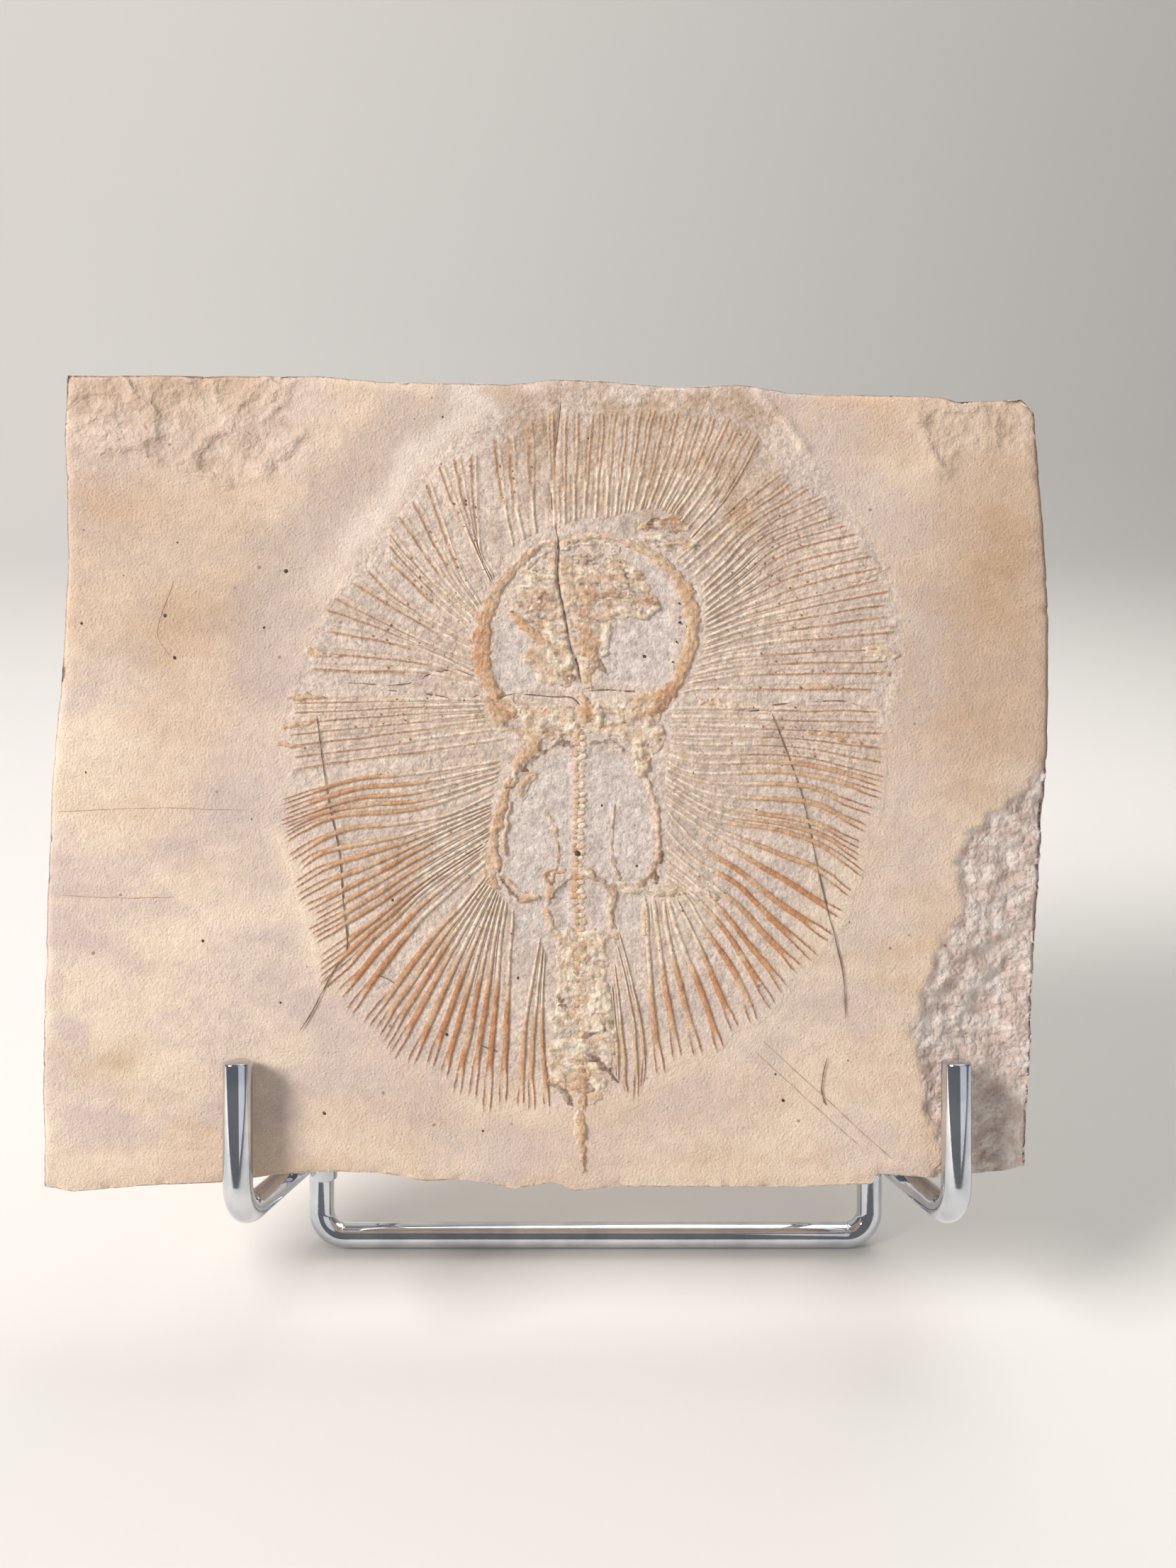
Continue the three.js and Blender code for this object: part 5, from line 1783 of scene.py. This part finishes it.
class FOSSIL_OT_column(bpy.types.Operator):
    """Builds the two rows of vertebrae"""

    bl_idname = "fossil.column"
    bl_label = "Vertebrae"

    def execute(self, context):
        settings = context.scene.fossil_ray
        middle = smooth_line(COLUMN_LINE, 60)
        rows, widths, tones = [], [], []
        for side, tone in ((-0.42, 0.6), (0.46, 0.1)):
            line = middle + np.array([side, 0.0])
            rows.append(on_surface(line, 0.06))
            widths.append(0.56 + 0.2 * hills(line[:, 1], side * 5, 1.6, 701))
            tones.append(tone + 0.35 * hills(line[:, 1], side * 9, 1.2, 703))
        widths, tones = np.concatenate(widths), np.concatenate(tones)
        source = path_source("vertebrae", rows, half_width=widths * MM, tone=tones, bone=0 * tones + 0.9)
        piece = grow("vertebrae", bead_tree(), source, {
            "Spacing": settings.bead_spacing, "Flatness": 0.26, "Seed": 4, "Material": stone_material()})
        finish_piece(piece)
        return {"FINISHED"}


class FOSSIL_OT_cracks(bpy.types.Operator):
    """Builds the dark filling of the cracks and the fine scratches"""

    bl_idname = "fossil.cracks"
    bl_label = "Cracks"

    def execute(self, context):
        tree = ridge_tree()
        seam = material_once("crack_mineral", dark_mineral, (150, 124, 102), (104, 86, 74))
        faint = material_once("scratch_mineral", dark_mineral, (206, 182, 158), (182, 156, 134))
        for name, lines, half, lift, count, filling in (
            ("cracks", LONG_CRACKS, 0.12, 0.04, 90, seam), ("hairlines", HAIRLINES, 0.09, 0.22, 80, seam),
            ("scratches", SCRATCHES, 0.075, 0.02, 60, faint),
        ):
            paths, widths = [], []
            for number, points in enumerate(lines):
                line = waver(smooth_line(points, count), number + 31)
                share = np.linspace(0, 1, count)
                uneven = 1 + 0.6 * hills(share * 26, number * 7.3, 1, 721)
                ends = np.sqrt(np.clip(np.minimum(share, 1 - share) / 0.06, 0.02, 1))
                paths.append(on_surface(line, lift))
                widths.append(half * uneven * ends)
            source = path_source(name, paths, half_width=np.concatenate(widths) * MM)
            piece = grow(name, tree, source, {
                "Sides": 6, "Flatness": 0.6, "Samples": 90, "Material": filling})
            finish_piece(piece)
        return {"FINISHED"}


class FOSSIL_OT_wires(bpy.types.Operator):
    """Builds the two bent wires of the stand"""

    bl_idname = "fossil.wires"
    bl_label = "Wire Stand"

    def execute(self, context):
        settings = context.scene.fossil_stand
        radius = settings.wire_diameter / MM / 2
        centre, prong_half, foot_half = 8.0, 55.0, 50.2
        prong_set_off, foot_out, foot_drop, prong_top = 0.5, -33.0, 18.4, 21.9
        weld_gap, back_bottom, back_top = 0.35, -4.0, 84.0
        prong_out = radius + prong_set_off
        back_out = -(THICKNESS + weld_gap + radius)
        share = (prong_out - back_out) / (prong_out - foot_out)
        arm_half = prong_half + (foot_half - prong_half) * share
        back_half = arm_half - settings.wire_diameter / MM - weld_gap
        rear = FACE_TO_WORLD.inverted() @ Vector((0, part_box("back_wire")[1][1] - radius * MM, radius * MM))
        cradle = [
            (prong_half, prong_top, prong_out, 0), (prong_half, -radius, prong_out, 5.5),
            (foot_half, -radius, foot_out, 4.5), (foot_half, -foot_drop, foot_out, 4.5),
        ]
        back = [
            (back_half, back_bottom, back_out, 0), (back_half, back_top, back_out, 7),
            (back_half, rear.y / MM, rear.z / MM, 4.5),
        ]
        tree = wire_tree()
        for name, half, node in (("cradle", cradle, "cradle_wire"), ("back_support", back, "back_wire")):
            self.wire(name, half, centre, radius, settings, tree, node)
        return {"FINISHED"}

    def tip(self, end, toward, bevel, radius):
        """A wire's bevelled end, from its flat face inwards, as (place, bend, share of the radius)."""
        inward = (toward - end).normalized()
        track = [(end, 0, 1 - bevel / radius)]
        for part in (0.3, 0.62, 1.0):
            shrink = 1 - bevel / radius * (1 - math.sin(math.acos(1 - part)))
            track.append((end + inward * bevel * part, 0, shrink))
        return track

    def wire(self, name, half, centre, radius, settings, tree, node):
        """One wire, the same on the left and the right, from the corners of one half."""
        left = [(Vector((centre - x, w, out)), bend, 1) for x, w, out, bend in half]
        right = [(Vector((centre + x, w, out)), bend, 1) for x, w, out, bend in half]
        corners = left + right[::-1]
        bevel = settings.tip_bevel / MM
        near = self.tip(corners[0][0], corners[1][0], bevel, radius)
        far = self.tip(corners[-1][0], corners[-2][0], bevel, radius)
        track = near + corners[1:-1] + far[::-1]
        places = lay_on_face([tuple(place) for place, _, _ in track]) / MM
        source = path_source(name, [places], bend=[bend * MM for _, bend, _ in track],
                             share=[share for _, _, share in track])
        piece = grow(name, tree, source, {
            "Wire Radius": radius * MM, "Bend Steps": 10, "Sides": 40,
            "Material": material_once("polished_chrome", chrome, settings)})
        piece.data.shade_smooth()
        piece.data.set_sharp_from_angle(angle=math.radians(35))
        finish_piece(piece)
        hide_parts(node)


OPERATORS = (
    FOSSIL_OT_stage, FOSSIL_OT_slab, FOSSIL_OT_fins, FOSSIL_OT_joints, FOSSIL_OT_bones, FOSSIL_OT_column,
    FOSSIL_OT_cracks, FOSSIL_OT_wires,
)


class FOSSIL_PT_panel(bpy.types.Panel):
    """Lists the steps that build the fossil slab and its stand"""

    bl_idname = "FOSSIL_PT_panel"
    bl_label = "Fossil Ray Slab"
    bl_space_type = "VIEW_3D"
    bl_region_type = "UI"
    bl_category = "Fossil Ray"

    def draw(self, context):
        for operator in OPERATORS:
            self.layout.operator(operator.bl_idname)


CLASSES = (FossilRaySettings, WireStandSettings, StudioSettings, *OPERATORS, FOSSIL_PT_panel)


def register():
    for cls in CLASSES:
        bpy.utils.register_class(cls)
    bpy.types.Scene.fossil_ray = bpy.props.PointerProperty(type=FossilRaySettings)
    bpy.types.Scene.fossil_stand = bpy.props.PointerProperty(type=WireStandSettings)
    bpy.types.Scene.fossil_studio = bpy.props.PointerProperty(type=StudioSettings)


def unregister():
    del bpy.types.Scene.fossil_studio
    del bpy.types.Scene.fossil_stand
    del bpy.types.Scene.fossil_ray
    for cls in reversed(CLASSES):
        bpy.utils.unregister_class(cls)


def plain(corners):
    """A box's two corners as plain lists of numbers."""
    return [[float(value) for value in corner] for corner in corners]


def main():
    register()
    bpy.ops.fossil.stage()
    bpy.ops.fossil.slab()
    bpy.ops.fossil.fins()
    bpy.ops.fossil.joints()
    bpy.ops.fossil.bones()
    bpy.ops.fossil.column()
    bpy.ops.fossil.cracks()
    bpy.ops.fossil.wires()
    {"cad": plain(cad_box), "visual": plain(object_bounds())}


if __name__ == "__main__":
    main()
